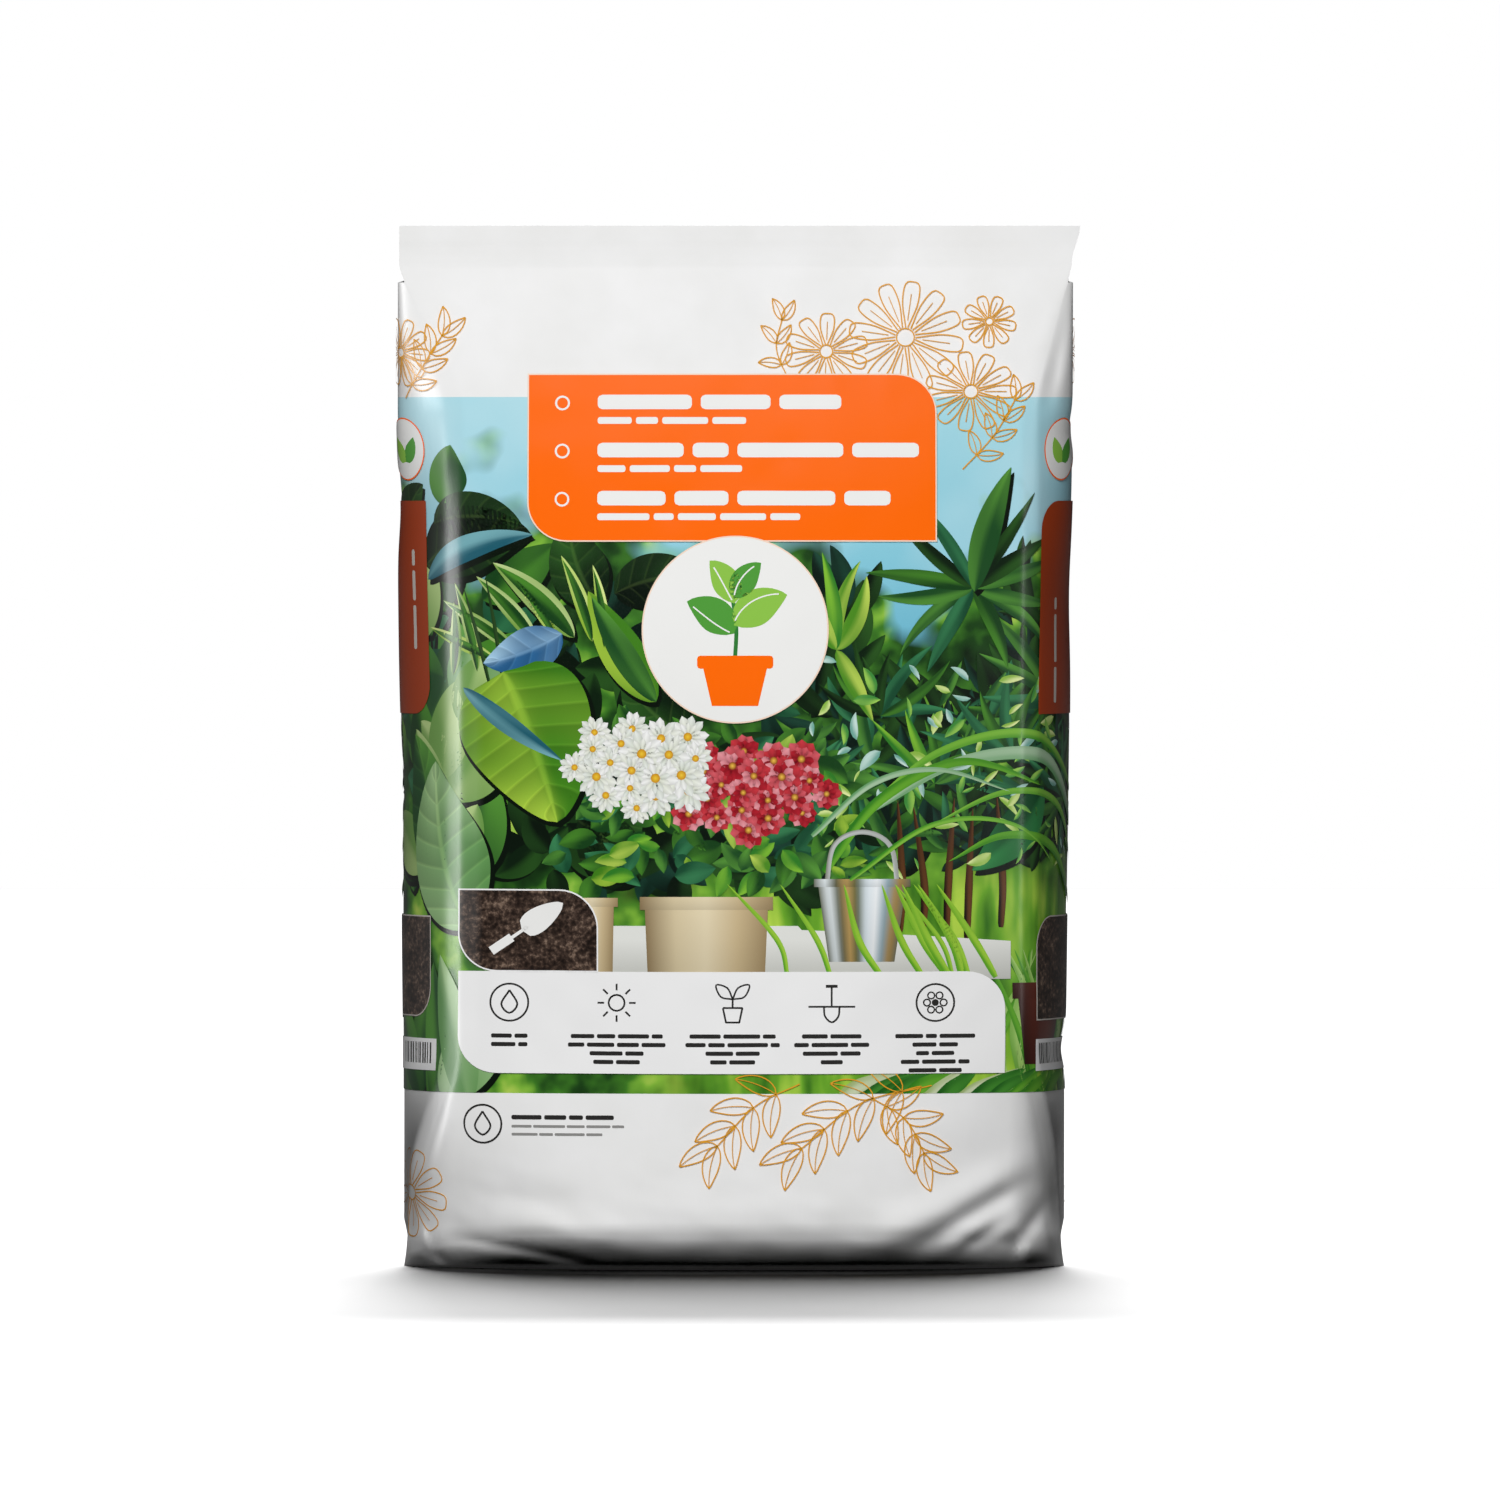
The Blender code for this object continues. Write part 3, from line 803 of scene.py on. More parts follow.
def lay_maps(mesh, ring, count, rows, columns):
    """Film coordinates for the print's nodes, and a map in which no two faces overlap."""
    girth = LENGTHS[FRONT][rows // 2, -1] - LENGTHS[FRONT][rows // 2, 0]
    loops = mesh_values(mesh.loops, "vertex_index", 1, np.int32)
    starts = mesh_values(mesh.polygons, "loop_start", 1, np.int32)
    x, y, z = mesh_values(mesh.vertices, "co", 3, float)[loops].T
    face_of = np.searchsorted(starts, np.arange(len(loops)), side="right") - 1
    wall = face_of < (rows - 1) * count
    lip = ~wall & (z > HEIGHT / 2)
    column_of_face = face_of % count
    on_back = wall & (column_of_face >= columns - 1)
    row, column = np.divmod(loops, count)
    on_ring = row < rows
    row, column = np.where(on_ring, row, 0), np.where(on_ring, column, 0)
    u = np.stack([LENGTHS[f][:, c] for f, c in ring], axis=1)
    own_u = np.where(on_ring, u[row, column], x)
    own_v = np.where(lip, HEIGHT, np.where(wall, z, BASE_V + BASE_V_SCALE * y))
    # a back face's u is measured on from the gusset, so that a pattern runs on round it
    edge = np.isin(column, (0, columns - 1))
    back_u = np.where(column == 0, LENGTHS[BACK][row, 0], LENGTHS[BACK][row, columns - 1])
    from_middle = np.where(edge, back_u, own_u)
    round_u = np.where(from_middle > 0, girth - from_middle, -girth - from_middle)
    middle = np.abs(from_middle) < SAME_PLACE
    seam_right = column_of_face < columns - 1 + (columns - 1) // 2
    round_u = np.where(middle, np.where(seam_right, girth, -girth), round_u)
    add_map(mesh, "film", np.where(on_back, round_u, own_u), own_v)
    half = np.where(on_back, 1.0 + from_middle / girth, own_u / girth) / 2 + 0.25
    flat_u = np.where(lip, MAP_LIP[0] + 0.4 * x / WELD_WIDTH, half)
    flat_v = np.where(wall, mix(MAP_WALL_FOOT, 1.0, own_v / HEIGHT), MAP_BASE + 0.5 * y)
    add_map(mesh, "OFBake", flat_u, np.where(lip, MAP_LIP[1] + 0.05 * y, flat_v))


def add_map(mesh, name, u, v):
    """A map of the mesh, from the values at its faces' corners."""
    layer = mesh.uv_layers.new(name=name)
    layer.uv.foreach_set("vector", side_by_side(u, v).ravel().astype(np.float32))


def make_film():
    """The film's object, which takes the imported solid's place."""
    mesh = film_mesh()
    mesh.materials.append(white_film())
    mesh.shade_smooth()
    mesh.set_sharp_from_angle(angle=math.radians(60))
    film = add_object("bag_film", mesh)
    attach(film, "root")
    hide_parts("compost_bag")
    return film


# Print, laid out in the photograph's pixels

BELLY_ROW = int(np.searchsorted(LEVELS, 0.2))
LIFT = 0.00016
LAYER = 0.00005
CELL = 3.8
CELL_MARGIN = 0.04
FACE_REACH = 0.112
BACK_FIELD = (500, 500, 970, 1040)
BACK_COVER = 12
FIELD_CORNERS = (0, 38, 0, 38)
LEFT_CORNERS = (0, 0, 30, 0)
RIGHT_CORNERS = (30, 0, 0, 0)
WORD_GAP = 0.62
WORD_ROUND = 0.32
SIGN_LINE = 1.9
EDGE_LINE = 1.4
DARKEST = "0a140b"
GOLDEN_TURN = math.pi * (3.0 - math.sqrt(5.0))


def film_u(x):
    """u of a place of the print, with pixels of one size on the gussets too."""
    middle = SEEN.shape[1] // 2
    reach = int(FACE_REACH / FILM_STEP)
    face = slice(middle - reach, middle + reach + 1)
    at = (np.arange(SEEN.shape[1]) - middle) * FILM_STEP
    seen = SEEN[BELLY_ROW, :, 0]
    u = np.interp(x, seen[face], at[face])
    low, high = seen[face][0], seen[face][-1]
    return u + METRES_PER_PIXEL * (np.minimum(x - low, 0.0) + np.maximum(x - high, 0.0))


def film_v(y):
    """v of a place of the print."""
    return np.interp(-y, -SEEN[:, SEEN.shape[1] // 2, 1], LEVELS)


PICTURE_FOOT = float(film_v(np.float64(PICTURE_FOOT_PIXEL)))
PICTURE_TOP = float(film_v(np.float64(PICTURE_TOP_PIXEL)))


def tone(text):
    """A linear colour of three values from its six hex digits."""
    return np.array(srgb(text)[:3])


INKS = {
    "white": "eeeeec", "pale": "f0f0f0", "orange": "ff6a00", "edge": "f3d9c4", "dark": "2b2a29",
    "line": "e09e2c", "leaf": "4f9a3a", "young": "8cc24a", "shade": "2f7a35", "grey": "8d8c8a",
    # the orange ink again but darker: painted shade of the gussets, which turn away from the light
    "rust": "a03a10", "soft": "c4bdb6",
}


def tones_of(texts):
    """The linear colours of several six-digit texts."""
    return [tone(text) for text in texts]


def film_ink(name, colour):
    """A plain printed ink with the film's gloss."""
    tree = Tree(name)
    tree.shader.inputs["Base Color"].default_value = srgb(colour)
    return tree.finish(FILM_ROUGHNESS)


def shaded_ink(veined):
    """Ink with the colour of each place of the print, and veins on leaves."""
    tree = Tree("veined_ink" if veined else "shaded_ink")
    attribute = tree.nodes.new("ShaderNodeVertexColor")
    attribute.layer_name = "ink"
    colour = attribute.outputs[0]
    if veined:
        along, across = tree.split(tree.map("leaf"))
        side = tree.math("ABSOLUTE", across)
        phase = tree.math("FRACT", tree.math("SUBTRACT", along, tree.math("MULTIPLY", side, 0.9)))
        ridge = tree.step(tree.math("ABSOLUTE", tree.math("SUBTRACT", phase, 0.5)), 0.40, 0.47)
        rib = tree.step(side, 0.10, 0.03)
        light = tree.math("MAXIMUM", tree.math("MULTIPLY", ridge, 0.30),
                          tree.math("MULTIPLY", rib, 0.55))
        fold = tree.math("MULTIPLY_ADD", phase, 0.30, 0.82)
        shaded = tree.vector("SCALE", colour)
        tree.links.new(fold, shaded.node.inputs["Scale"])
        pale = tree.vector("ADD", tree.vector("MULTIPLY", colour, (1.7, 1.5, 1.5)),
                           (0.03, 0.05, 0.01))
        colour = tree.blend(light, shaded, pale)
    tree.links.new(colour, tree.shader.inputs["Base Color"])
    return tree.finish(FILM_ROUGHNESS)


def soil_ink():
    """Dark crumbs of soil with paler bits."""
    tree = Tree("soil_ink")
    place = tree.map("film")
    crumbs = tree.noise(place, 520.0, 5.0, 0.72)
    clods = tree.noise(place, 130.0, 2.0)
    value = tree.math("MULTIPLY_ADD", clods, 0.35, tree.math("MULTIPLY", crumbs, 0.75))
    colour = tree.ramp(value, CRUMBS)
    tree.links.new(colour, tree.shader.inputs["Base Color"])
    return tree.finish(FILM_ROUGHNESS + 0.1)


MATERIALS = {}


def material(name):
    """The ink of this name, made when first asked for."""
    if name not in MATERIALS:
        made = {"shaded": lambda: shaded_ink(False), "veined": lambda: shaded_ink(True),
                "soil": soil_ink}
        MATERIALS[name] = made[name]() if name in made else film_ink(name, INKS[name])
    return MATERIALS[name]


class Print:
    """One object of print: sheets of places on one face of the bag."""

    def __init__(self, name, face, in_band=False):
        self.name, self.face, self.in_band = name, face, in_band
        self.sheets = []

    def lay(self, x, y, ink, layer, colours=None, veins=0.0):
        """Add a sheet: a grid of places (rows, columns) with its ink."""
        x, y = np.broadcast_arrays(np.asarray(x, float), np.asarray(y, float))
        left, top, right, foot = BACK_FIELD
        covered = left + BACK_COVER < x.min() and x.max() < right - BACK_COVER
        covered = covered and top + BACK_COVER < y.min() and y.max() < foot - BACK_COVER
        if not (covered and self.in_band and self.face == BACK):
            self.sheets.append((x, y, ink, layer, colours, veins))

    def faces_of(self, u, v, start):
        """A sheet's faces, turned to look out of the bag."""
        number = np.arange(u.size).reshape(u.shape) + start
        quads = np.stack([number[:-1, :-1], number[:-1, 1:], number[1:, 1:], number[1:, :-1]],
                         axis=-1).reshape(-1, 4)
        turn = np.sum(np.diff(u, axis=1)[:-1] * np.diff(v, axis=0)[:, :-1]
                      - np.diff(u, axis=0)[:, :-1] * np.diff(v, axis=1)[:-1])
        return quads if (turn > 0) == (self.face == FRONT) else quads[:, ::-1]

    def maps_of(self, u, v, index, veins):
        """A sheet's maps: for the film's patterns, for a leaf's veins and for baking."""
        cells = math.ceil(math.sqrt(len(self.sheets)))
        s = np.linspace(0.0, 1.0, u.shape[0])[:, None] + 0.0 * u
        t = np.linspace(0.0, 1.0, u.shape[1])[None, :] + 0.0 * u
        inside = mix(CELL_MARGIN, 1.0 - CELL_MARGIN, side_by_side(t, s))
        baked = (np.array([index % cells, index // cells]) + inside) / cells
        return side_by_side(u, v), side_by_side(s * veins, 2 * t - 1), baked

    def make(self):
        """The object, on the film, with maps for its inks and for baking."""
        names = sorted({sheet[2] for sheet in self.sheets})
        spots, normals, faces, inks, colours, maps = [], [], [], [], [], []
        start = 0
        for index, (x, y, ink, layer, colour, veins) in enumerate(self.sheets):
            u, v = film_u(x) * (1 if self.face == FRONT else -1), film_v(y)
            if self.in_band:
                v = np.clip(v, PICTURE_FOOT, PICTURE_TOP)
            place, normal = on_film(self.face, u.ravel(), v.ravel())
            spots.append(place + normal * (LIFT + LAYER * layer))
            normals.append(normal)
            faces.append(self.faces_of(u, v, start))
            inks += [names.index(ink)] * len(faces[-1])
            start += u.size
            maps.append(self.maps_of(u, v, index, veins))
            plain = np.zeros((u.size, 3)) if colour is None else colour.reshape(-1, 3)
            colours.append(np.concatenate([plain, np.ones((u.size, 1))], axis=1))
        mesh = bpy.data.meshes.new(self.name)
        mesh.from_pydata(np.concatenate(spots).tolist(), [], np.concatenate(faces).tolist())
        for name in names:
            mesh.materials.append(material(name))
        mesh.polygons.foreach_set("material_index", inks)
        loops = mesh_values(mesh.loops, "vertex_index", 1, np.int32)
        for name, values in zip(("film", "leaf", "OFBake"), zip(*maps)):
            add_map(mesh, name, *np.concatenate(values)[loops].T)
        ink_layer = mesh.color_attributes.new(name="ink", type="FLOAT_COLOR", domain="POINT")
        ink_layer.data.foreach_set("color", np.concatenate(colours).astype(np.float32).ravel())
        mesh.shade_smooth()
        mesh.normals_split_custom_set_from_vertices(np.concatenate(normals).tolist())
        item = add_object(self.name, mesh)
        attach(item, "root")
        return item


# Shapes, as grids of places

def stops(low, high, cell=CELL):
    """Even stops from low to high, no further apart than a cell."""
    return np.linspace(low, high, max(2, math.ceil(abs(high - low) / cell) + 1))


def panel(x0, y0, x1, y1, radii=(0, 0, 0, 0)):
    """A field with corners of these radii: top left, top right, bottom right, bottom left."""
    turns = np.radians(np.linspace(0, 90, 10 if max(radii) > 8 else 3))
    rows = set(np.round(stops(y0, y1), 3))
    for radius in radii:
        rows |= set(np.round(y0 + radius * (1 - np.cos(turns)), 3))
        rows |= set(np.round(y1 - radius * (1 - np.cos(turns)), 3))
    y = np.array(sorted(rows))

    def inset(upper, lower):
        up = np.clip((upper - (y - y0)) / max(upper, 1e-6), 0.0, 1.0)
        down = np.clip((lower - (y1 - y)) / max(lower, 1e-6), 0.0, 1.0)
        return upper * (1 - np.sqrt(1 - up**2)) + lower * (1 - np.sqrt(1 - down**2))

    left, right = x0 + inset(radii[0], radii[3]), x1 - inset(radii[1], radii[2])
    share = stops(0.0, 1.0, CELL / abs(x1 - x0))[None, :]
    return left[:, None] + (right - left)[:, None] * share, y[:, None]


def disc(x, y, radius, hole=0.0, sweep=(0.0, 360.0)):
    """A disc or a ring, or the part of one between two bearings."""
    length = math.radians(sweep[1] - sweep[0]) * radius
    bearing = np.radians(stops(*sweep, (sweep[1] - sweep[0]) / max(16.0, length / CELL)))[None, :]
    reach = stops(hole, radius)[:, None]
    return x + reach * np.cos(bearing), y - reach * np.sin(bearing)


def curve(points, step=3.0):
    """A smooth line through the points."""
    points = np.array(points, float)
    ends = np.concatenate([[2 * points[0] - points[1]], points, [2 * points[-1] - points[-2]]])
    line = []
    for a, b, c, d in zip(ends, ends[1:], ends[2:], ends[3:]):
        count = max(2, int(np.hypot(*(c - b)) / step) + 1)
        s = np.linspace(0.0, 1.0, count, endpoint=False)[:, None]
        line.append(0.5 * (2 * b + (c - a) * s + (2 * a - 5 * b + 4 * c - d) * s**2
                           + (3 * b - a - 3 * c + d) * s**3))
    return np.concatenate(line + [points[-1:]])


def ribbon(line, half, columns=2):
    """A strip along a line, half as wide as given at each of its points."""
    ahead = np.gradient(line, axis=0)
    ahead /= np.maximum(np.linalg.norm(ahead, axis=1, keepdims=True), 1e-9)
    half = np.broadcast_to(half, len(line))
    across = np.linspace(-1.0, 1.0, columns)[None, :] * half[:, None]
    return line[:, :1] - ahead[:, 1:] * across, line[:, 1:] + ahead[:, :1] * across


def grid_line(grid, column):
    """The line along one column of a grid."""
    return np.stack([values[:, column] for values in grid], axis=1)


def leaf(x, y, angle, length, width, bend=0.0, fullness=0.8, tip=0.8, columns=7):
    """A leaf from its base at (x, y), growing at an angle: 0 is right and 90 is up."""
    columns = max(columns, 2 * math.ceil(width / CELL / 2) + 1)
    s = np.linspace(0.0, 1.0, max(6, math.ceil(length / CELL)))
    heading = math.radians(angle) + bend * (2 * s - 0.6)
    steps = np.stack([np.cos(heading), -np.sin(heading)], axis=1) * length / (len(s) - 1)
    line = np.array([x, y]) + np.cumsum(steps, axis=0) - steps[0]
    half = width / 2 * np.sin(math.pi * np.clip(s, 0.0, 1.0) ** fullness) ** tip
    return ribbon(line, half, columns)


def leaf_colours(grid, dark, light, turn=0.25, sun=0.0):
    """Colours of a leaf: lighter to its tip, with one half in the light."""
    rows, columns = grid[0].shape
    s = np.linspace(0.0, 1.0, rows)[:, None]
    t = np.linspace(-1.0, 1.0, columns)[None, :]
    half = np.tanh(6.0 * t)
    patch = 0.22 * np.sin(5.0 * s + 9.0 * sun + 1.5 * t)
    share = clamp(0.15 + 0.45 * s + turn * half - 0.12 * np.abs(t) + patch)
    return mix(dark, light, share[..., None])


DEEP = (("0a160c", "22451d"), ("0d200f", "2d5a22"), ("0a1b14", "1d4636"))
MIDDLE = (("17401a", "4c8c2c"), ("1c4a22", "5a9a3a"), ("184a30", "3c8656"))
BRIGHT = (("3f7d1c", "aacd44"), ("4b8a22", "c3da5e"), ("2f7a26", "86c238"))
PALE = (("6d9a4a", "b9d28a"), ("5f9152", "a8cc92"))
TEAL = (("1f5a6a", "7fb8c0"),)
BLUE = (("2b608f", "a4cbe4"),)
JADE = (("0f4a26", "3a9450"),)
MARGIN = (("8fb43c", "e2ee9c"), ("7aa048", "cfe0a0"))
GLINTS = (("8cb848", "eef6b0"), ("6fa89a", "d8eee6"), ("3f8a3c", "a8d85c"))


def add_leaf(item, rng, place, angle, length, width, tones, layer, veins=0.0, **shape):
    """A leaf with a tone pair picked for it."""
    dark, light = tones_of(rng.choice(tones))
    if length > 85 and width > 20:
        under = leaf(place[0] + 3, place[1] + 5, angle, length, width * 1.04, **shape)
        depth = np.broadcast_to(tone(DARKEST), under[0].shape + (3,))
        item.lay(*under, "shaded", layer - 0.9, depth)
    grid = leaf(*place, angle, length, width, **shape)
    colours = leaf_colours(grid, dark, light, rng.choice((-0.25, 0.25)), rng.random())
    item.lay(*grid, "veined" if veins else "shaded", layer, colours, veins)


def scatter(item, rng, count, box, length, slim, headings, tones, layers):
    """Leaves strewn over a box, with the last ones on top."""
    for index in range(count):
        size = rng.uniform(*length)
        place = (rng.uniform(box[0], box[2]), rng.uniform(box[1], box[3]))
        add_leaf(item, rng, place, rng.uniform(*headings), size, size * rng.uniform(*slim), tones,
                 mix(*layers, index / count), bend=rng.uniform(-0.4, 0.4), columns=5)


def fan(item, rng, place, angles, length, width, tones, layer):
    """Long narrow leaves that spread from one point."""
    for index, angle in enumerate(angles):
        size = length * rng.uniform(0.78, 1.08)
        add_leaf(item, rng, place, angle + rng.uniform(-4, 4), size, width * rng.uniform(0.8, 1.15),
                 tones, layer + 0.12 * index, bend=rng.uniform(-0.35, 0.35), fullness=0.72, tip=0.8)


def edged_leaf(item, rng, place, angle, length, width, tones, edge, layer, **shape):
    """A leaf with a pale margin."""
    add_leaf(item, rng, place, angle, length, width, edge, layer, **shape)
    add_leaf(item, rng, place, angle, 0.95 * length, 0.58 * width, tones, layer + 0.4, **shape)


def blade(item, points, width, colours, layer):
    """A long blade of grass, with one half lighter than the other."""
    line = curve(points, 4.0)
    share = np.linspace(0.0, 1.0, len(line))
    half = width / 2 * np.minimum(1.0, 1.35 * (1.0 - share) ** 0.6) * (0.5 + 0.5 * share**0.3)
    grid = ribbon(line, half, 5)
    item.lay(*grid, "shaded", layer, leaf_colours(grid, *tones_of(colours)))


def bloom(item, rng, place, radius, petals, tones, slim, layer, eye):
    """A flower of petals round an eye."""
    first = rng.uniform(0, 360)
    for ring, reach in enumerate((1.0, 0.66)):
        for index in range(petals):
            angle = first + 360 * (index + 0.5 * ring) / petals + rng.uniform(-6, 6)
            start, end = tones_of(rng.choice(tones))
            grid = leaf(*place, angle, radius * reach, radius * slim * reach, fullness=1.5,
                        tip=0.6, columns=5)
            share = np.linspace(0.0, 1.0, grid[0].shape[0])[:, None, None]
            light = 1.0 - 0.25 * np.abs(np.linspace(-1, 1, 5))[None, :, None]
            item.lay(*grid, "shaded", layer + 0.3 * ring + 0.01 * index,
                     mix(start, end, share**0.8) * light)
    grid = disc(*place, radius * 0.2)
    centre, rim = tones_of(eye)
    share = np.linspace(0.0, 1.0, len(grid[0]))[:, None, None] + np.zeros(grid[0].shape + (1,))
    item.lay(*grid, "shaded", layer + 0.7, mix(centre, rim, share))


def vessel(item, x0, x1, y0, y1, taper, tones, layer):
    """An upright pot, narrower at its foot, with colours from side to side."""
    x, y = panel(x0, y0, x1, y1)
    middle = (x0 + x1) / 2
    share = (x - x0) / (x1 - x0)
    colours = np.array(tones_of(tones))
    at = np.linspace(0.0, 1.0, len(tones))
    shade = np.stack([np.interp(share, at, colours[:, axis]) for axis in range(3)], axis=-1)
    fall = 1.0 - 0.22 * ((y - y0) / (y1 - y0))[..., None]
    item.lay(middle + (x - middle) * (1 - taper * (y - y0) / (y1 - y0)), y, "shaded", layer,
             shade * fall)


BEIGE = ("8f7a58", "d9c9a4", "e6d8b6", "cdb88f", "a08a64")
ZINC = ("6b6f5e", "e4ecee", "5c5f48", "b9995c", "55603c", "dfeaf0", "f4f8fa", "8fa9b4", "a8894c",
        "6e6e5a")
TERRACOTTA = ("2e120d", "5d2a1f", "6b3326", "4a2018")
RED = (("7a0d18", "d23a44"), ("8a1420", "e0606a"), ("6a0a14", "b81f2e"), ("a83040", "f0a0a8"))
WHITE = (("cfd6b8", "f4f6f0"), ("c2ccae", "eef2ee"), ("dfe4d4", "fafafa"))
RED_EYE, WHITE_EYE = ("f2c14e", "8a3a18"), ("f0c83a", "c88a1e")
TABLE_TONES = ("e2e3de", "a3a49c")
HANDLE_TONES = ("77796a", "e8eef0")

# each leaf: its angle, its length, its width and its foot
BEHIND_LEAVES = (
    (24, 124, 70, (414, 566)), (8, 96, 50, (428, 524)), (118, 96, 58, (600, 606)),
    (18, 96, 52, (614, 594)), (62, 104, 58, (352, 566)), (148, 104, 54, (700, 742)),
    (66, 84, 58, (600, 862)), (128, 96, 62, (636, 880)),
)
MARGINED_LEAVES = (
    (133, 110, 27, (574, 638)), (127, 92, 17, (538, 646)), (141, 96, 14, (520, 656)),
    (106, 92, 15, (592, 642)), (94, 84, 12, (604, 648)), (120, 78, 12, (556, 640)),
    (152, 88, 13, (500, 664)), (84, 74, 14, (452, 676)), (100, 92, 12, (478, 672)),
)
STALKS = (((490, 684), (478, 634), (466, 588)), ((504, 684), (496, 630), (487, 576)))
STALK_TONES = ("16301a", "3a5a2a")
# leaves strewn: how many, the box, the length, the slimness, the angle, the tones, the layers
BROAD_STREWN = (
    (34, (350, 600, 500, 900), (70, 130), (0.4, 0.6), (20, 170), MIDDLE, (0, 3)),
    (44, (520, 600, 660, 890), (46, 96), (0.4, 0.6), (20, 170), DEEP, (0, 3)),
    (12, (350, 640, 480, 900), (70, 120), (0.5, 0.7), (30, 150), PALE, (3, 4)),
)


def broad_leaves(face, rng):
    """Large veined leaves and the leaves behind them."""
    item = Print("print_leaves", face, in_band=True)
    for row in BROAD_STREWN:
        scatter(item, rng, *row)
    for angle, length, width, place in BEHIND_LEAVES:
        add_leaf(item, rng, place, angle, length, width, DEEP[:2], 4, 6.0, bend=-0.35, columns=9)
    add_leaf(item, rng, (450, 506), 96, 62, 46, MIDDLE[1:2], 3.4, bend=-0.3)
    for angle, length, width, place in MARGINED_LEAVES:
        edged_leaf(item, rng, place, angle, length, width, MIDDLE, MARGIN, 4.8, bend=0.15)
    for points in STALKS:
        blade(item, points, 4.5, STALK_TONES, 5.4)
    edged_leaf(item, rng, (656, 702), 124, 130, 44, MIDDLE[:2], BRIGHT[:1], 5, bend=-0.1)
    add_leaf(item, rng, (418, 580), 30, 126, 26, TEAL, 5.8, bend=-0.35)
    add_leaf(item, rng, (562, 634), 206, 84, 46, BLUE, 6.0, 5.0, bend=-0.2)
    add_leaf(item, rng, (470, 930), 112, 176, 100, PALE, 5.5, 8.0, bend=-0.3, columns=13)
    add_leaf(item, rng, (504, 672), -68, 160, 132, BRIGHT[:1], 7, 8.0, bend=-0.1, fullness=0.6,
             tip=0.62, columns=13)
    add_leaf(item, rng, (464, 688), -39, 122, 19, TEAL + PALE[1:], 8.6, bend=0.1)
    add_leaf(item, rng, (420, 880), 96, 150, 76, MIDDLE[1:2], 5.2, 7.0, bend=0.3, columns=11)
    add_leaf(item, rng, (1054, 788), 230, 118, 44, JADE, 6, bend=-0.2)
    for index in range(10):
        place = (352 + 13 * index, 1108 - 4 * (index % 3))
        add_leaf(item, rng, place, rng.uniform(50, 130), rng.uniform(100, 160), rng.uniform(36, 54),
                 MIDDLE[1:2] + PALE[1:], 2 + 0.2 * index, bend=rng.uniform(-0.5, 0.5))
    return item.make()


ARCHES = (
    (((1140, 792), (1040, 736), (940, 752), (848, 826)), 11),
    (((1146, 830), (1060, 760), (960, 762), (872, 812)), 16),
    (((824, 872), (880, 800), (962, 762), (1048, 786)), 12),
    (((1150, 872), (1090, 808), (1010, 792), (930, 826)), 9),
    (((812, 836), (872, 784), (938, 770), (1010, 792)), 7),
    (((1140, 906), (1076, 850), (1006, 836), (948, 862)), 12),
    (((850, 880), (930, 826), (1010, 824), (1080, 868)), 6),
)
ARCH_TONES = (("3c8c22", "9ad24c"), ("5f9a62", "c6dcc0"), ("2c7a1c", "7cc036"))
TRUNKS = ((900, 880), (922, 886), (946, 878), (966, 888), (1000, 876))
BARK = ("1a0f0a", "7a4c28")
YOUNG_GRASS = ("5aa020", "b4dc48")
TURF = (("2f7a1c", "7cc03a"), ("1d5a1a", "4f9a36"))
NARROW = (0.15, 0.28)
BUSH_STREWN = (
    (130, (800, 696, 1140, 876), (46, 92), NARROW, (20, 160), DEEP, (0, 3)),
    (40, (992, 610, 1140, 720), (46, 86), NARROW, (20, 160), DEEP, (0, 2)),
    (20, (812, 600, 850, 700), (40, 74), (0.3, 0.45), (40, 140), DEEP, (0, 2)),
    (80, (540, 740, 860, 890), (34, 66), (0.4, 0.6), (0, 360), DEEP, (1, 4)),
    (90, (800, 700, 1140, 870), (30, 70), NARROW, (0, 180), MIDDLE, (2, 4)),
)
NEAR_STREWN = (
    (90, (812, 660, 1132, 864), (12, 30), (0.2, 0.4), (0, 360), GLINTS, (6, 7)),
    (150, (560, 742, 850, 878), (22, 48), (0.4, 0.62), (0, 360), MIDDLE, (4, 6)),
    (46, (570, 760, 850, 880), (18, 38), (0.35, 0.6), (0, 360), BRIGHT, (5.5, 7)),
)
PALM_ANGLES = (216, 240, 300, 326, 190, 344, 14, 166, 140, 118, 34, 54)
# fans of leaves: the foot, the angles, the length, the width, the tones, the layer
FANS = (
    ((1070, 700), range(10, 200, 24), 110, 14, DEEP + MIDDLE, 4.4),
    ((880, 716), range(8, 190, 26), 84, 11, DEEP[:2] + MIDDLE, 4.6),
    ((1012, 760), range(0, 190, 20), 96, 11, MIDDLE, 5.0),
    ((934, 784), range(4, 180, 22), 84, 10, MIDDLE + BRIGHT[2:], 5.4),
    ((1098, 800), range(60, 230, 22), 92, 12, DEEP[1:] + MIDDLE, 5.0),
    ((836, 650), (62, 80, 98, 118, 300), 98, 17, BRIGHT, 5.0),
    ((971, 588), PALM_ANGLES, 112, 15, MIDDLE + DEEP[1:2], 6.0),
)


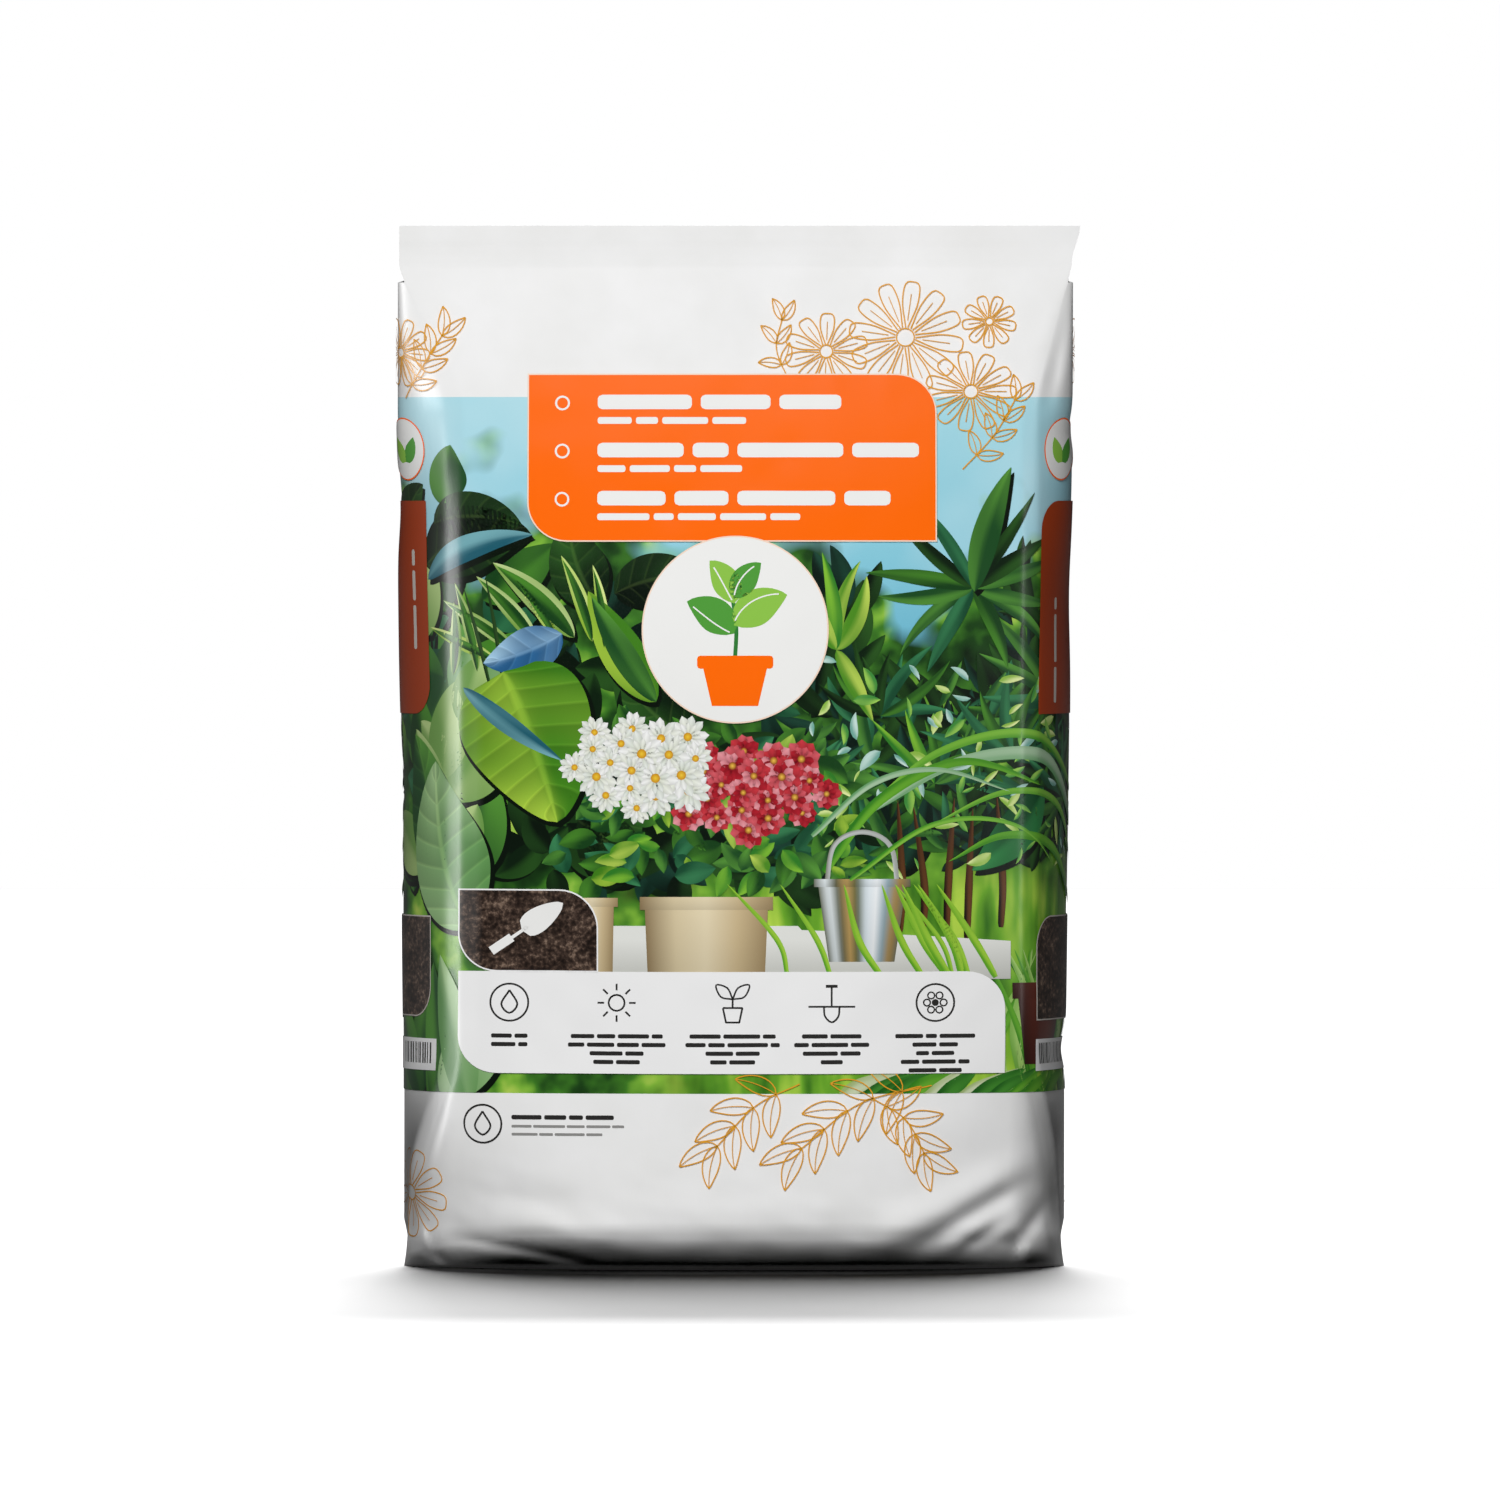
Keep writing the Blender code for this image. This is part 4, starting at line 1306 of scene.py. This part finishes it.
def fine_leaves(face, rng):
    """Bushes, fans of long leaves and blades of grass."""
    item = Print("print_greenery", face, in_band=True)
    for row in BUSH_STREWN:
        scatter(item, rng, *row)
    for x, y in TRUNKS:
        blade(item, ((x, y + 52), (x + 2, y), (x + rng.uniform(-9, 9), y - 80)), 9, BARK, 3.4)
    for row in FANS:
        fan(item, rng, *row)
    add_leaf(item, rng, (972, 592), 78, 130, 27, MIDDLE[1:2], 7.6, bend=-0.15)
    for row in NEAR_STREWN:
        scatter(item, rng, *row)
    for index, (points, width) in enumerate(ARCHES):
        blade(item, points, width, ARCH_TONES[index % 3], 7 + 0.3 * index)
    for index in range(10):
        x = rng.uniform(776, 1000)
        points = ((x, 978), (x - rng.uniform(10, 26), 940), (x - rng.uniform(34, 64), 884))
        blade(item, points, rng.uniform(5, 10), YOUNG_GRASS, 10.4 + 0.02 * index)
    for index in range(26):
        x = mix(1004, 1150, index / 25)
        points = ((x, 1104), (x + rng.uniform(-26, 26), 1030), (x + rng.uniform(-70, 70), 950))
        blade(item, points, rng.uniform(7, 17), rng.choice(TURF + (("6aa040", "b9dc80"),)),
              2 + 0.05 * index)
    for index in range(14):
        x = mix(840, 1050, index / 13)
        points = ((x, 1104), (x + rng.uniform(14, 30), 1088), (x + rng.uniform(40, 70), 1070))
        blade(item, points, rng.uniform(8, 20), rng.choice(TURF + (("9ab070", "dfe6cc"),)),
              2 + 0.1 * index)
    return item.make()


# pots: left, right, top, foot, how much narrower the foot is, the tones and the layer
POTS = (
    (570, 614, 904, 980, 0.06, BEIGE, 7.6), (566, 618, 898, 907, 0.0, BEIGE, 7.8),
    (645, 768, 908, 980, 0.05, BEIGE, 8.0), (640, 773, 897, 910, 0.0, BEIGE, 8.2),
)
HANDLE = ((826, 890), (834, 846), (862, 832), (890, 846), (898, 890))
BUCKET = ((818, 906, 884, 962, 0.26, ZINC, 8.4), (814, 910, 879, 887, 0.0, ZINC, 8.6))
DARK_POT = ((1012, 1100, 984, 1000, 0.0, TERRACOTTA, 4.2),
            (1018, 1094, 1000, 1066, 0.2, TERRACOTTA, 4.0))
TABLE = (590, 926, 1010, 980)
TABLE_SAG = 16


def wares(face):
    """The table with its pots and a bucket, and a dark pot beside it."""
    item = Print("print_wares", face, in_band=True)
    left, top, right, foot = TABLE
    x, y = panel(*TABLE)
    slope = (x - left) / (right - left)
    y = y + (1 - (y - top) / (foot - top)) * TABLE_SAG * slope**2 * (x > 800)
    far, near = tones_of(TABLE_TONES)
    item.lay(x, y, "shaded", 7.2, mix(far, near, clamp((y - 940) / 60)[..., None]))
    for row in POTS:
        vessel(item, *row)
    grid = ribbon(curve(HANDLE), 2.4, 3)
    item.lay(*grid, "shaded", 7.8, leaf_colours(grid, *tones_of(HANDLE_TONES)))
    for row in BUCKET + DARK_POT:
        vessel(item, *row)
    return item.make()


def spiral(count, middle, reach):
    """Places strewn evenly over an ellipse, the outer ones first."""
    for index in range(count, 0, -1):
        share = math.sqrt((index - 0.5) / count)
        bearing = GOLDEN_TURN * index
        yield middle[0] + reach[0] * share * math.cos(bearing), middle[1] + reach[1] * share * (
            math.sin(bearing))


def blooms(face, rng):
    """Red and white flowers, in the middle of the picture."""
    item = Print("print_blooms", face, in_band=True)
    for index, (x, y) in enumerate(spiral(22, (752, 788), (78, 46))):
        bloom(item, rng, (x, y), rng.uniform(15, 21), 9, RED, 0.62, 7 + 0.09 * index, RED_EYE)
    for index, (x, y) in enumerate(spiral(20, (640, 766), (72, 44))):
        bloom(item, rng, (x, y), rng.uniform(16, 24), 11, WHITE, 0.42, 9.2 + 0.09 * index,
              WHITE_EYE)
    return item.make()


# Panels and their signs

def stroke(item, points, width, ink, layer, smooth=True):
    """A drawn line."""
    if smooth:
        line = curve(points)
    else:
        points = np.array(points, float)
        line = np.concatenate([np.linspace(a, b, 6) for a, b in zip(points, points[1:])])
    item.lay(*ribbon(line, width / 2), ink, layer)


def word_row(item, x, y, widths, height, ink, layer):
    """Bars that stand for words."""
    for width in widths:
        item.lay(*panel(x, y - height / 2, x + width, y + height / 2, (WORD_ROUND * height,) * 4),
                 ink, layer)
        x += width + WORD_GAP * height


def centred_row(item, x, y, widths, height, ink, layer):
    """Word bars about a middle."""
    length = sum(widths) + WORD_GAP * height * (len(widths) - 1)
    word_row(item, x - length / 2, y, widths, height, ink, layer)


def edged_panel(item, box, radii, fill, edge, width, layer):
    """A panel with a thin edge round it."""
    x0, y0, x1, y1 = box
    grown = [radius + width if radius else 0 for radius in radii]
    item.lay(*panel(x0 - width, y0 - width, x1 + width, y1 + width, grown), edge, layer)
    item.lay(*panel(x0, y0, x1, y1, radii), fill, layer + 1)


# lines of the signs, in radii from the sign's middle
DROP = ((0, -0.62), (0.40, 0.10), (0, 0.55), (-0.40, 0.10), (0, -0.62))
POT = ((-0.5, 0.25), (0.5, 0.25), (0.34, 1), (-0.34, 1), (-0.5, 0.25))
POT_STEM = ((0, 0.25), (0, -0.35))
POT_LEAF = ((0, -0.2), (0.28, -0.78), (0.85, -0.92), (0.6, -0.32), (0, -0.2))
GROUND = ((-1.2, 0.2), (1.2, 0.2))
SHAFT = ((0, 0.2), (0, -0.8))
GRIP = ((-0.3, -0.85), (0.3, -0.85))
SPADE = ((-0.4, 0.2), (-0.34, 0.7), (0, 1), (0.34, 0.7), (0.4, 0.2))


def sign_line(item, place, r, points, layer, width=SIGN_LINE, smooth=False):
    """A line of a sign."""
    line = [(place[0] + r * a, place[1] + r * b) for a, b in points]
    stroke(item, line, width, "dark", layer, smooth)


def drop_sign(item, x, y, r, layer):
    """A drop in a ring."""
    item.lay(*disc(x, y, r, r - SIGN_LINE), "dark", layer)
    sign_line(item, (x, y), r, DROP, layer, smooth=True)


def sun_sign(item, x, y, r, layer):
    """A sun with its rays."""
    item.lay(*disc(x, y, 0.46 * r, 0.46 * r - SIGN_LINE), "dark", layer)
    for index in range(8):
        bearing = math.pi * index / 4
        ray = [(reach * math.cos(bearing), reach * math.sin(bearing)) for reach in (0.64, 0.98)]
        sign_line(item, (x, y), r, ray, layer)


def pot_sign(item, x, y, r, layer):
    """A seedling in a pot."""
    for points in (POT, POT_STEM):
        sign_line(item, (x, y), r, points, layer)
    for side in (-1, 1):
        points = [(side * a, b) for a, b in POT_LEAF]
        sign_line(item, (x, y), r, points, layer, 1.7, smooth=True)


def spade_sign(item, x, y, r, layer):
    """A hand spade upright in the ground."""
    for points, width in ((GROUND, SIGN_LINE), (SHAFT, SIGN_LINE), (GRIP, 3.0)):
        sign_line(item, (x, y), r, points, layer, width)
    sign_line(item, (x, y), r, SPADE, layer, smooth=True)


def flower_sign(item, x, y, r, layer):
    """An open flower in a ring."""
    item.lay(*disc(x, y, r, r - SIGN_LINE), "dark", layer)
    item.lay(*disc(x, y, 0.18 * r), "dark", layer)
    for index in range(6):
        bearing = math.pi * index / 3
        item.lay(*disc(x + 0.42 * r * math.cos(bearing), y + 0.42 * r * math.sin(bearing),
                       0.21 * r, 0.21 * r - 1.5), "dark", layer)


SIGNS = (
    (510, drop_sign, ((22, 14), (26, 10))),
    (617, sun_sign, ((26, 20, 34, 12), (18, 30, 24, 26), (36, 20), (22, 26))),
    (733, pot_sign, ((34, 40, 14), (22, 18, 44, 10), (30, 26), (18, 28))),
    (832, spade_sign, ((28, 34), (16, 40, 20), (38, 22), (24,))),
    (935, flower_sign, ((30, 12, 38), (26, 20), (14, 24), (20, 36, 12), (30, 24))),
)
LABEL = (529, 376, 934, 541)
LABEL_ROWS = (
    ((94, 70, 62), (34, 22, 46, 34)), ((86, 36, 106, 66), (28, 40, 22, 42)),
    ((68, 54, 98, 46), (52, 20, 38, 46, 30)),
)
BADGE = (735, 630)
BADGE_RADIUS = 92.0
BADGE_POT = (703, 668, 767, 706)
BADGE_RIM = (697, 656, 773, 669)
BADGE_STEM = ((735, 658), (736, 628), (732, 596))
SOIL_FIELD = (460, 891, 597, 971)
SIGN_FIELD = (459, 972, 1004, 1074)
# leaves of the potted sprout: the angle, the length, the width, the foot's y and the ink
SPROUT = ((138, 58, 34, 634, "leaf"), (38, 62, 36, 626, "young"), (112, 50, 28, 604, "young"),
          (62, 46, 26, 600, "leaf"))
NOTE_ROWS = ((1118, (30, 22, 14, 28), 4.4, "dark"), (1127, (20, 32, 18, 24, 12), 2.6, "grey"),
             (1135, (26, 14, 30, 16), 2.6, "grey"))


def label(item):
    """The label with its rows of words."""
    edged_panel(item, LABEL, FIELD_CORNERS, "orange", "edge", EDGE_LINE, 17)
    for row, (title, detail) in enumerate(LABEL_ROWS):
        y = 404 + 48 * row
        item.lay(*disc(562, y, 7.4, 5.4), "white", 19)
        word_row(item, 597, y - 1, title, 14.5, "white", 19)
        word_row(item, 597, y + 17.5, detail, 6.8, "white", 19)


def badge(item):
    """The round badge with a potted sprout."""
    item.lay(*disc(*BADGE, BADGE_RADIUS + 1.5), "edge", 19)
    item.lay(*disc(*BADGE, BADGE_RADIUS), "white", 20)
    left, top, right, foot = BADGE_POT
    x, y = panel(*BADGE_POT)
    middle = (left + right) / 2
    item.lay(middle + (x - middle) * (1.0 - 0.28 * (y - top) / (foot - top)), y, "orange", 21)
    item.lay(*panel(*BADGE_RIM, (3, 3, 3, 3)), "orange", 22)
    stroke(item, BADGE_STEM, 4.0, "shade", 21)
    for angle, length, width, y, ink in SPROUT:
        grid = leaf(734, y, angle, length, width, bend=0.3 if angle > 90 else -0.3, fullness=0.85)
        item.lay(*grid, ink, 22)
        item.lay(*ribbon(grid_line(grid, 3)[1:-2], 0.7), "white", 23)


def soil_picture(item):
    """The field of soil with a white trowel."""
    edged_panel(item, SOIL_FIELD, FIELD_CORNERS, "soil", "pale", 1.5, 17)
    stroke(item, ((492, 952), (512, 938)), 9.0, "white", 19, smooth=False)
    stroke(item, ((511, 939), (528, 927)), 3.2, "white", 19, smooth=False)
    item.lay(*leaf(522, 931, 34, 50, 25, fullness=0.62, tip=0.6), "white", 19)


def sign_field(item):
    """The pale field with a row of signs and their words."""
    item.lay(*panel(*SIGN_FIELD, FIELD_CORNERS), "pale", 17)
    for x, sign, rows in SIGNS:
        sign(item, x, 1003, 19.5, 18)
        for row, widths in enumerate(rows):
            centred_row(item, x, 1036.5 + 8.6 * row, [0.92 * w for w in widths], 4.2, "dark", 18)


def front_panels():
    """The fields over the picture, and the note below it."""
    item = Print("print_panels", FRONT)
    for field in (label, badge, soil_picture, sign_field):
        field(item)
    drop_sign(item, 483, 1125, 20, 1)
    for y, widths, height, ink in NOTE_ROWS:
        word_row(item, 512, y, widths, height, ink, 1)
    return item.make()


# a petal in lines: how far out each point lies and how far to the side
PETAL = ((0.18, -0.4), (0.62, -0.82), (0.95, -0.5), (1.0, 0.0), (0.95, 0.5), (0.62, 0.82),
         (0.18, 0.4))
PETAL_RIB = ((0.3, 0.0), (0.78, 0.0))


def outline_daisy(item, x, y, radius, petals, turn, layer, squash=1.0):
    """A flower drawn in lines: double petals round a small ring."""
    item.lay(*disc(x, y, 0.17 * radius, 0.17 * radius - 1.3), "line", layer)
    for index in range(petals):
        for points, width, smooth in ((PETAL, 1.25, True), (PETAL_RIB, 0.8, False)):
            line = []
            for reach, offset in points:
                bearing = math.radians(turn + 360 * index / petals) + math.pi / petals * offset
                line.append((x + radius * reach * math.cos(bearing),
                             y + squash * radius * reach * math.sin(bearing)))
            stroke(item, line, width, "line", layer, smooth)


def outline_leaf(item, x, y, angle, length, width, layer):
    """A leaf drawn in lines."""
    grid = leaf(x, y, angle, length, width, bend=0.25)
    for column, half in ((0, 0.6), (-1, 0.6), (3, 0.4)):
        item.lay(*ribbon(grid_line(grid, column), half), "line", layer)


def sprig(item, points, leaves, length, width, layer):
    """A twig with leaves in pairs, drawn in lines."""
    line = curve(points)
    item.lay(*ribbon(line, 0.6), "line", layer)
    for index in range(leaves):
        at = int((index + 1) / leaves * (len(line) - 2))
        ahead = line[at + 1] - line[at]
        angle = math.degrees(math.atan2(-ahead[1], ahead[0]))
        for side in (-1, 1):
            outline_leaf(item, *line[at], angle + side * mix(52, 16, index / leaves), length,
                         width, layer)


# outlined flowers: the middle, the radius, the petals, the turn, the layer and the squash
DAISIES = (
    (905, 338, 56, 12, 8, 12), (826, 352, 42, 10, 20, 12.4, 0.9), (968, 392, 44, 11, 0, 12.8, 0.9),
    (986, 322, 26, 9, 12, 13), (398, 352, 34, 10, 6, 12), (388, 1196, 50, 9, 14, 1, 0.9),
)
# twigs: the line, the pairs of leaves, their length and width, and the layer
SPRIGS = (
    (((960, 470), (990, 436), (1012, 398)), 4, 26, 11, 12),
    (((790, 384), (776, 350), (782, 318)), 3, 24, 10, 12),
    (((398, 398), (424, 366), (446, 334)), 4, 30, 12, 12),
    (((932, 1086), (860, 1104), (800, 1150)), 5, 46, 17, 12),
    (((800, 1084), (756, 1106), (716, 1148)), 4, 44, 17, 12),
    (((872, 1098), (906, 1120), (926, 1156)), 4, 40, 16, 12),
)


def line_art(face):
    """Flowers and twigs in thin orange lines."""
    item = Print("print_lines", face)
    for row in DAISIES:
        outline_daisy(item, *row)
    for row in SPRIGS:
        sprig(item, *row)
    return item.make()


# fields on the gussets: each one's box in the photograph's pixels, and its corners
PRINT_LEFT, PRINT_RIGHT = 330, 1150
SIDE_LABELS = (((PRINT_LEFT, 501, 417, 715), LEFT_CORNERS), ((1043, 501, PRINT_RIGHT, 715),
               RIGHT_CORNERS))
SIDE_SOILS = (((PRINT_LEFT, 919, 417, 1018), LEFT_CORNERS), ((1042, 919, PRINT_RIGHT, 1021),
              RIGHT_CORNERS))
SIDE_SLIPS = ((PRINT_LEFT, 1041, 428, 1073), (1040, 1041, PRINT_RIGHT, 1073))
SIDE_BADGES = ((388, 449), (1076, 449))
CODE_RUNS = ((356, 422), (1046, 1130))
CODE_BARS, CODE_GAPS = (1.2, 1.8, 2.8), (1.5, 2.4, 3.4)
# upright word bars: the middle, the foot of the first and the lengths
SIDE_WORDS = ((392, 650, (44, 30, 16)), (1078, 704, (36, 48, 12)))


def side_fields(face):
    """The fields on this face's halves of the gussets."""
    item = Print("print_sides", face)
    for box, corners in SIDE_LABELS:
        # the side labels use the darker copy of the orange, painted shade of the gussets
        item.lay(*panel(*box, corners), "rust", 10)
    for x, y in SIDE_BADGES:
        item.lay(*disc(x, y, 31.5), "orange", 9)
        item.lay(*disc(x, y, 30.0), "white", 10)
        for side, ink in ((-1, "leaf"), (1, "young")):
            item.lay(*leaf(x, y + 13, 90 + 42 * side, 30, 17, bend=-0.3 * side), ink, 11)
    for box, corners in SIDE_SOILS:
        edged_panel(item, box, corners, "soil", "soft", EDGE_LINE, 9)
    for box in SIDE_SLIPS:
        item.lay(*panel(*box), "pale", 9)
    rng = random.Random(11)
    for x, end in CODE_RUNS:
        while x < end:
            width = rng.choice(CODE_BARS)
            item.lay(*panel(x, 1045, x + width, 1066), "dark", 10)
            x += width + rng.choice(CODE_GAPS)
    for x, y, lengths in SIDE_WORDS:
        for length in lengths:
            item.lay(*panel(x - 3, y - length, x + 3, y, (2, 2, 2, 2)), "soft", 11)
            y -= length + 5
    return item.make()


BACK_LABEL = (500, 376, 970, 480)
BACK_LEFT = 540
BACK_ROWS = ((412, 14, (120, 78, 136)), (444, 8, (60, 40, 84, 52, 38)))


def back_panels():
    """Fields with plain rows of word bars on the back."""
    item = Print("print_back_panels", BACK)
    edged_panel(item, BACK_LABEL, FIELD_CORNERS, "orange", "edge", EDGE_LINE, 17)
    for y, height, widths in BACK_ROWS:
        word_row(item, BACK_LEFT, y, widths, height, "white", 19)
    item.lay(*panel(*BACK_FIELD, FIELD_CORNERS), "pale", 17)
    rng = random.Random(23)
    for block in range(3):
        top = 536 + 168 * block
        item.lay(*disc(BACK_LEFT, top, 9, 7), "dark", 18)
        word_row(item, BACK_LEFT + 22, top, [rng.randint(40, 90) for _ in range(3)], 8, "dark", 18)
        for row in range(9):
            widths = []
            while sum(widths) + 4 * len(widths) < 330:
                widths.append(rng.randint(14, 52))
            word_row(item, BACK_LEFT, top + 22 + 13.4 * row, widths, 4.4, "dark", 18)
    return item.make()


def make_print():
    """All of the print, on both faces."""
    for face, seed in ((FRONT, 5), (BACK, 8)):
        rng = random.Random(seed)
        broad_leaves(face, rng)
        fine_leaves(face, rng)
        wares(face)
        if face == FRONT:
            blooms(face, rng)
        line_art(face)
        side_fields(face)
    front_panels()
    back_panels()


# The studio

def make_stage():
    """A white floor that keeps the bag's soft shadow and throws little light up at the foot."""
    tree = Tree("floor")
    tree.shader.inputs["Base Color"].default_value = (FLOOR_BOUNCE,) * 3 + (1.0,)
    tree.finish(0.9, 0.1)
    seen = tree.nodes.new("ShaderNodeBsdfDiffuse")
    seen.inputs["Color"].default_value = (FLOOR_SEEN,) * 3 + (1.0,)
    path = tree.nodes.new("ShaderNodeLightPath")
    either = tree.nodes.new("ShaderNodeMixShader")
    tree.links.new(path.outputs["Is Camera Ray"], either.inputs[0])
    tree.links.new(tree.shader.outputs[0], either.inputs[1])
    tree.links.new(seen.outputs[0], either.inputs[2])
    tree.links.new(either.outputs[0], tree.nodes["Material Output"].inputs["Surface"])
    mesh = bpy.data.meshes.new("floor")
    size = FLOOR_SIZE / 2
    mesh.from_pydata([(-size, -size, 0), (size, -size, 0), (size, size, 0), (-size, size, 0)],
                     [], [(0, 1, 2, 3)])
    mesh.materials.append(tree.material)
    floor = add_object("floor", mesh)
    return floor


def grouped(name, items):
    """A collection of these objects, for a lamp's links."""
    group = bpy.data.collections.new(name)
    for item in items:
        group.objects.link(item)
    return group


def light_only(lamp, items, blockers=None):
    """Let a lamp reach only these objects, and only the blockers throw its shadow."""
    lamp.light_linking.receiver_collection = grouped(lamp.name + " lit", items)
    if blockers:
        lamp.light_linking.blocker_collection = grouped(lamp.name + " blocked", blockers)


def make_floor_suns(floor, dressed):
    """Suns one above the other behind the bag, for the floor's soft shadow to the front alone."""
    for height, side, width, level in FLOOR_SUNS:
        height, side = math.radians(height), math.radians(side)
        data = bpy.data.lights.new("floor sun", "SUN")
        data.angle = math.radians(width)
        data.energy = level * math.pi / (FLOOR_SEEN * math.sin(height))
        sun = add_object(data.name, data)
        toward = Vector((math.sin(side) * math.cos(height), math.cos(side) * math.cos(height),
                         math.sin(height)))
        sun.rotation_euler = (-toward).to_track_quat("-Z", "Y").to_euler()
        light_only(sun, [floor], dressed)


def make_flag(name, foot, head):
    """An unseen card between two rows of points, that keeps a lamp off some of the film."""
    count = len(foot)
    mesh = bpy.data.meshes.new(name)
    mesh.from_pydata(foot + head, [],
                     [(i, i + 1, count + i + 1, count + i) for i in range(count - 1)])
    tree = Tree(name)
    tree.shader.inputs["Base Color"].default_value = (0.0, 0.0, 0.0, 1.0)
    mesh.materials.append(tree.finish(1.0, 0.0))
    flag = add_object(name, mesh)
    flag.visible_camera = False
    flag.visible_glossy = False
    return flag


def straight_flag(name, place, inner, outer, foot, head):
    """A flag across the view, from its foot to its head."""
    return make_flag(name, [(inner[0], -place, foot), (outer, -place, foot)],
                     [(inner[1], -place, head), (outer, -place, head)])


def low_flag():
    """A low flag that follows the foot of the front."""
    places = []
    for side in (LEFT, RIGHT):
        lengths = np.linspace(1.0, 0.0, 12) if side == LEFT else np.linspace(0.0, 1.0, 12)
        points = film_point(FRONT, side, lengths * (face_half_width(side) + 0.008), 0.008)
        places += [(float(x), float(y) - LOW_FLAG_GAP) for x, y, _ in points]
    places = [(FAR_LEFT, places[0][1])] + places + [(FAR_RIGHT, places[-1][1])]
    return make_flag("low flag", [(x, y, 0.0) for x, y in places],
                     [(x, y, mix(LOW_FLAG_MIDDLE, LOW_FLAG_END, min(abs(x) / WELD_HALF, 1.0)**5))
                      for x, y in places])


def strip_flag():
    """A flag beside the front's left edge, that keeps the left strip's glare on that edge."""
    edge = [film_point(FRONT, LEFT, np.array([face_half_width(LEFT)]), height)[0]
            for height in np.linspace(0.0, HEIGHT, 24)]
    edge = [(float(x) - STRIP_FLAG_OUT, float(y) - STRIP_FLAG_GAP, float(z)) for x, y, z in edge]
    return make_flag("strip flag", edge, [(x, STRIP_FLAG_END, z) for x, y, z in edge])


def make_lamp(name, place, size, power):
    """A plain area lamp that faces the bag's middle."""
    data = bpy.data.lights.new(name, "AREA")
    data.shape = "RECTANGLE"
    data.size, data.size_y = size
    data.energy = power
    lamp = add_object(name, data)
    lamp.location = place
    lamp.rotation_euler = (Vector(LIGHT_AIM) - Vector(place)).to_track_quat("-Z", "Y").to_euler()
    return lamp


def make_world():
    """A white world as the camera sees it, which throws little light."""
    world = bpy.data.worlds.new("studio")
    bpy.context.scene.world = world
    world.use_nodes = True
    nodes, links = world.node_tree.nodes, world.node_tree.links
    ground = nodes["Background"]
    ground.inputs["Color"].default_value = (1.0, 1.0, 1.0, 1.0)
    path = nodes.new("ShaderNodeLightPath")
    seen = nodes.new("ShaderNodeMath")
    seen.operation = "MAXIMUM"
    links.new(path.outputs["Is Camera Ray"], seen.inputs[0])
    links.new(path.outputs["Is Transmission Ray"], seen.inputs[1])
    strength = nodes.new("ShaderNodeMapRange")
    links.new(seen.outputs[0], strength.inputs[0])
    strength.inputs[3].default_value = AMBIENT
    strength.inputs[4].default_value = 1.0
    links.new(strength.outputs[0], ground.inputs["Strength"])


def make_lights(dressed):
    """The lamps of the bag, with their flags."""
    toward = Vector((math.sin(KEY_SIDE) * math.cos(KEY_HEIGHT),
                     -math.cos(KEY_SIDE) * math.cos(KEY_HEIGHT), math.sin(KEY_HEIGHT)))
    low = low_flag()
    key = make_lamp("key", Vector(LIGHT_AIM) + KEY_REACH * toward, KEY_SIZE, KEY_POWER)
    flags = [low, straight_flag("key flag", KEY_FLAG_PLACE, (-KEY_FLAG_REACH,) * 2,
                                KEY_FLAG_REACH, 0.0, KEY_FLAG_HEIGHT),
             straight_flag("key left flag", SIDE_FLAG_PLACE, *KEY_LEFT_FLAG),
             straight_flag("key right flag", SIDE_FLAG_PLACE, *KEY_RIGHT_FLAG)]
    light_only(key, dressed, dressed + flags)
    fill = make_lamp("fill", FILL_PLACE, FILL_SIZE, FILL_POWER)
    flags = [low, straight_flag("fill right flag", SIDE_FLAG_PLACE, *FILL_RIGHT_FLAG)]
    light_only(fill, dressed, dressed + flags)
    back = make_lamp("back", BACK_LAMP_PLACE, KEY_SIZE, BACK_LAMP_POWER)
    light_only(back, dressed)
    for lamp in (key, fill, back):
        lamp.visible_glossy = False
    left, right = [make_lamp(name, place, STRIP_SIZE, power) for name, place, power in STRIPS]
    sheen = make_lamp("sheen", SHEEN_PLACE, SHEEN_SIZE, SHEEN_POWER)
    for lamp in (left, right, sheen):
        lamp.visible_diffuse = False
    light_only(left, dressed, dressed + [strip_flag()])
    light_only(right, dressed)
    light_only(sheen, dressed)


make_camera()
make_film()
make_print()
DRESSED = [item for item in bpy.context.scene.collection.objects
           if item.type == "MESH" and item.name.startswith(("bag", "print"))]
FLOOR = make_stage()
make_world()
make_lights(DRESSED)
make_floor_suns(FLOOR, DRESSED)
bpy.context.scene.view_settings.view_transform = "Standard"
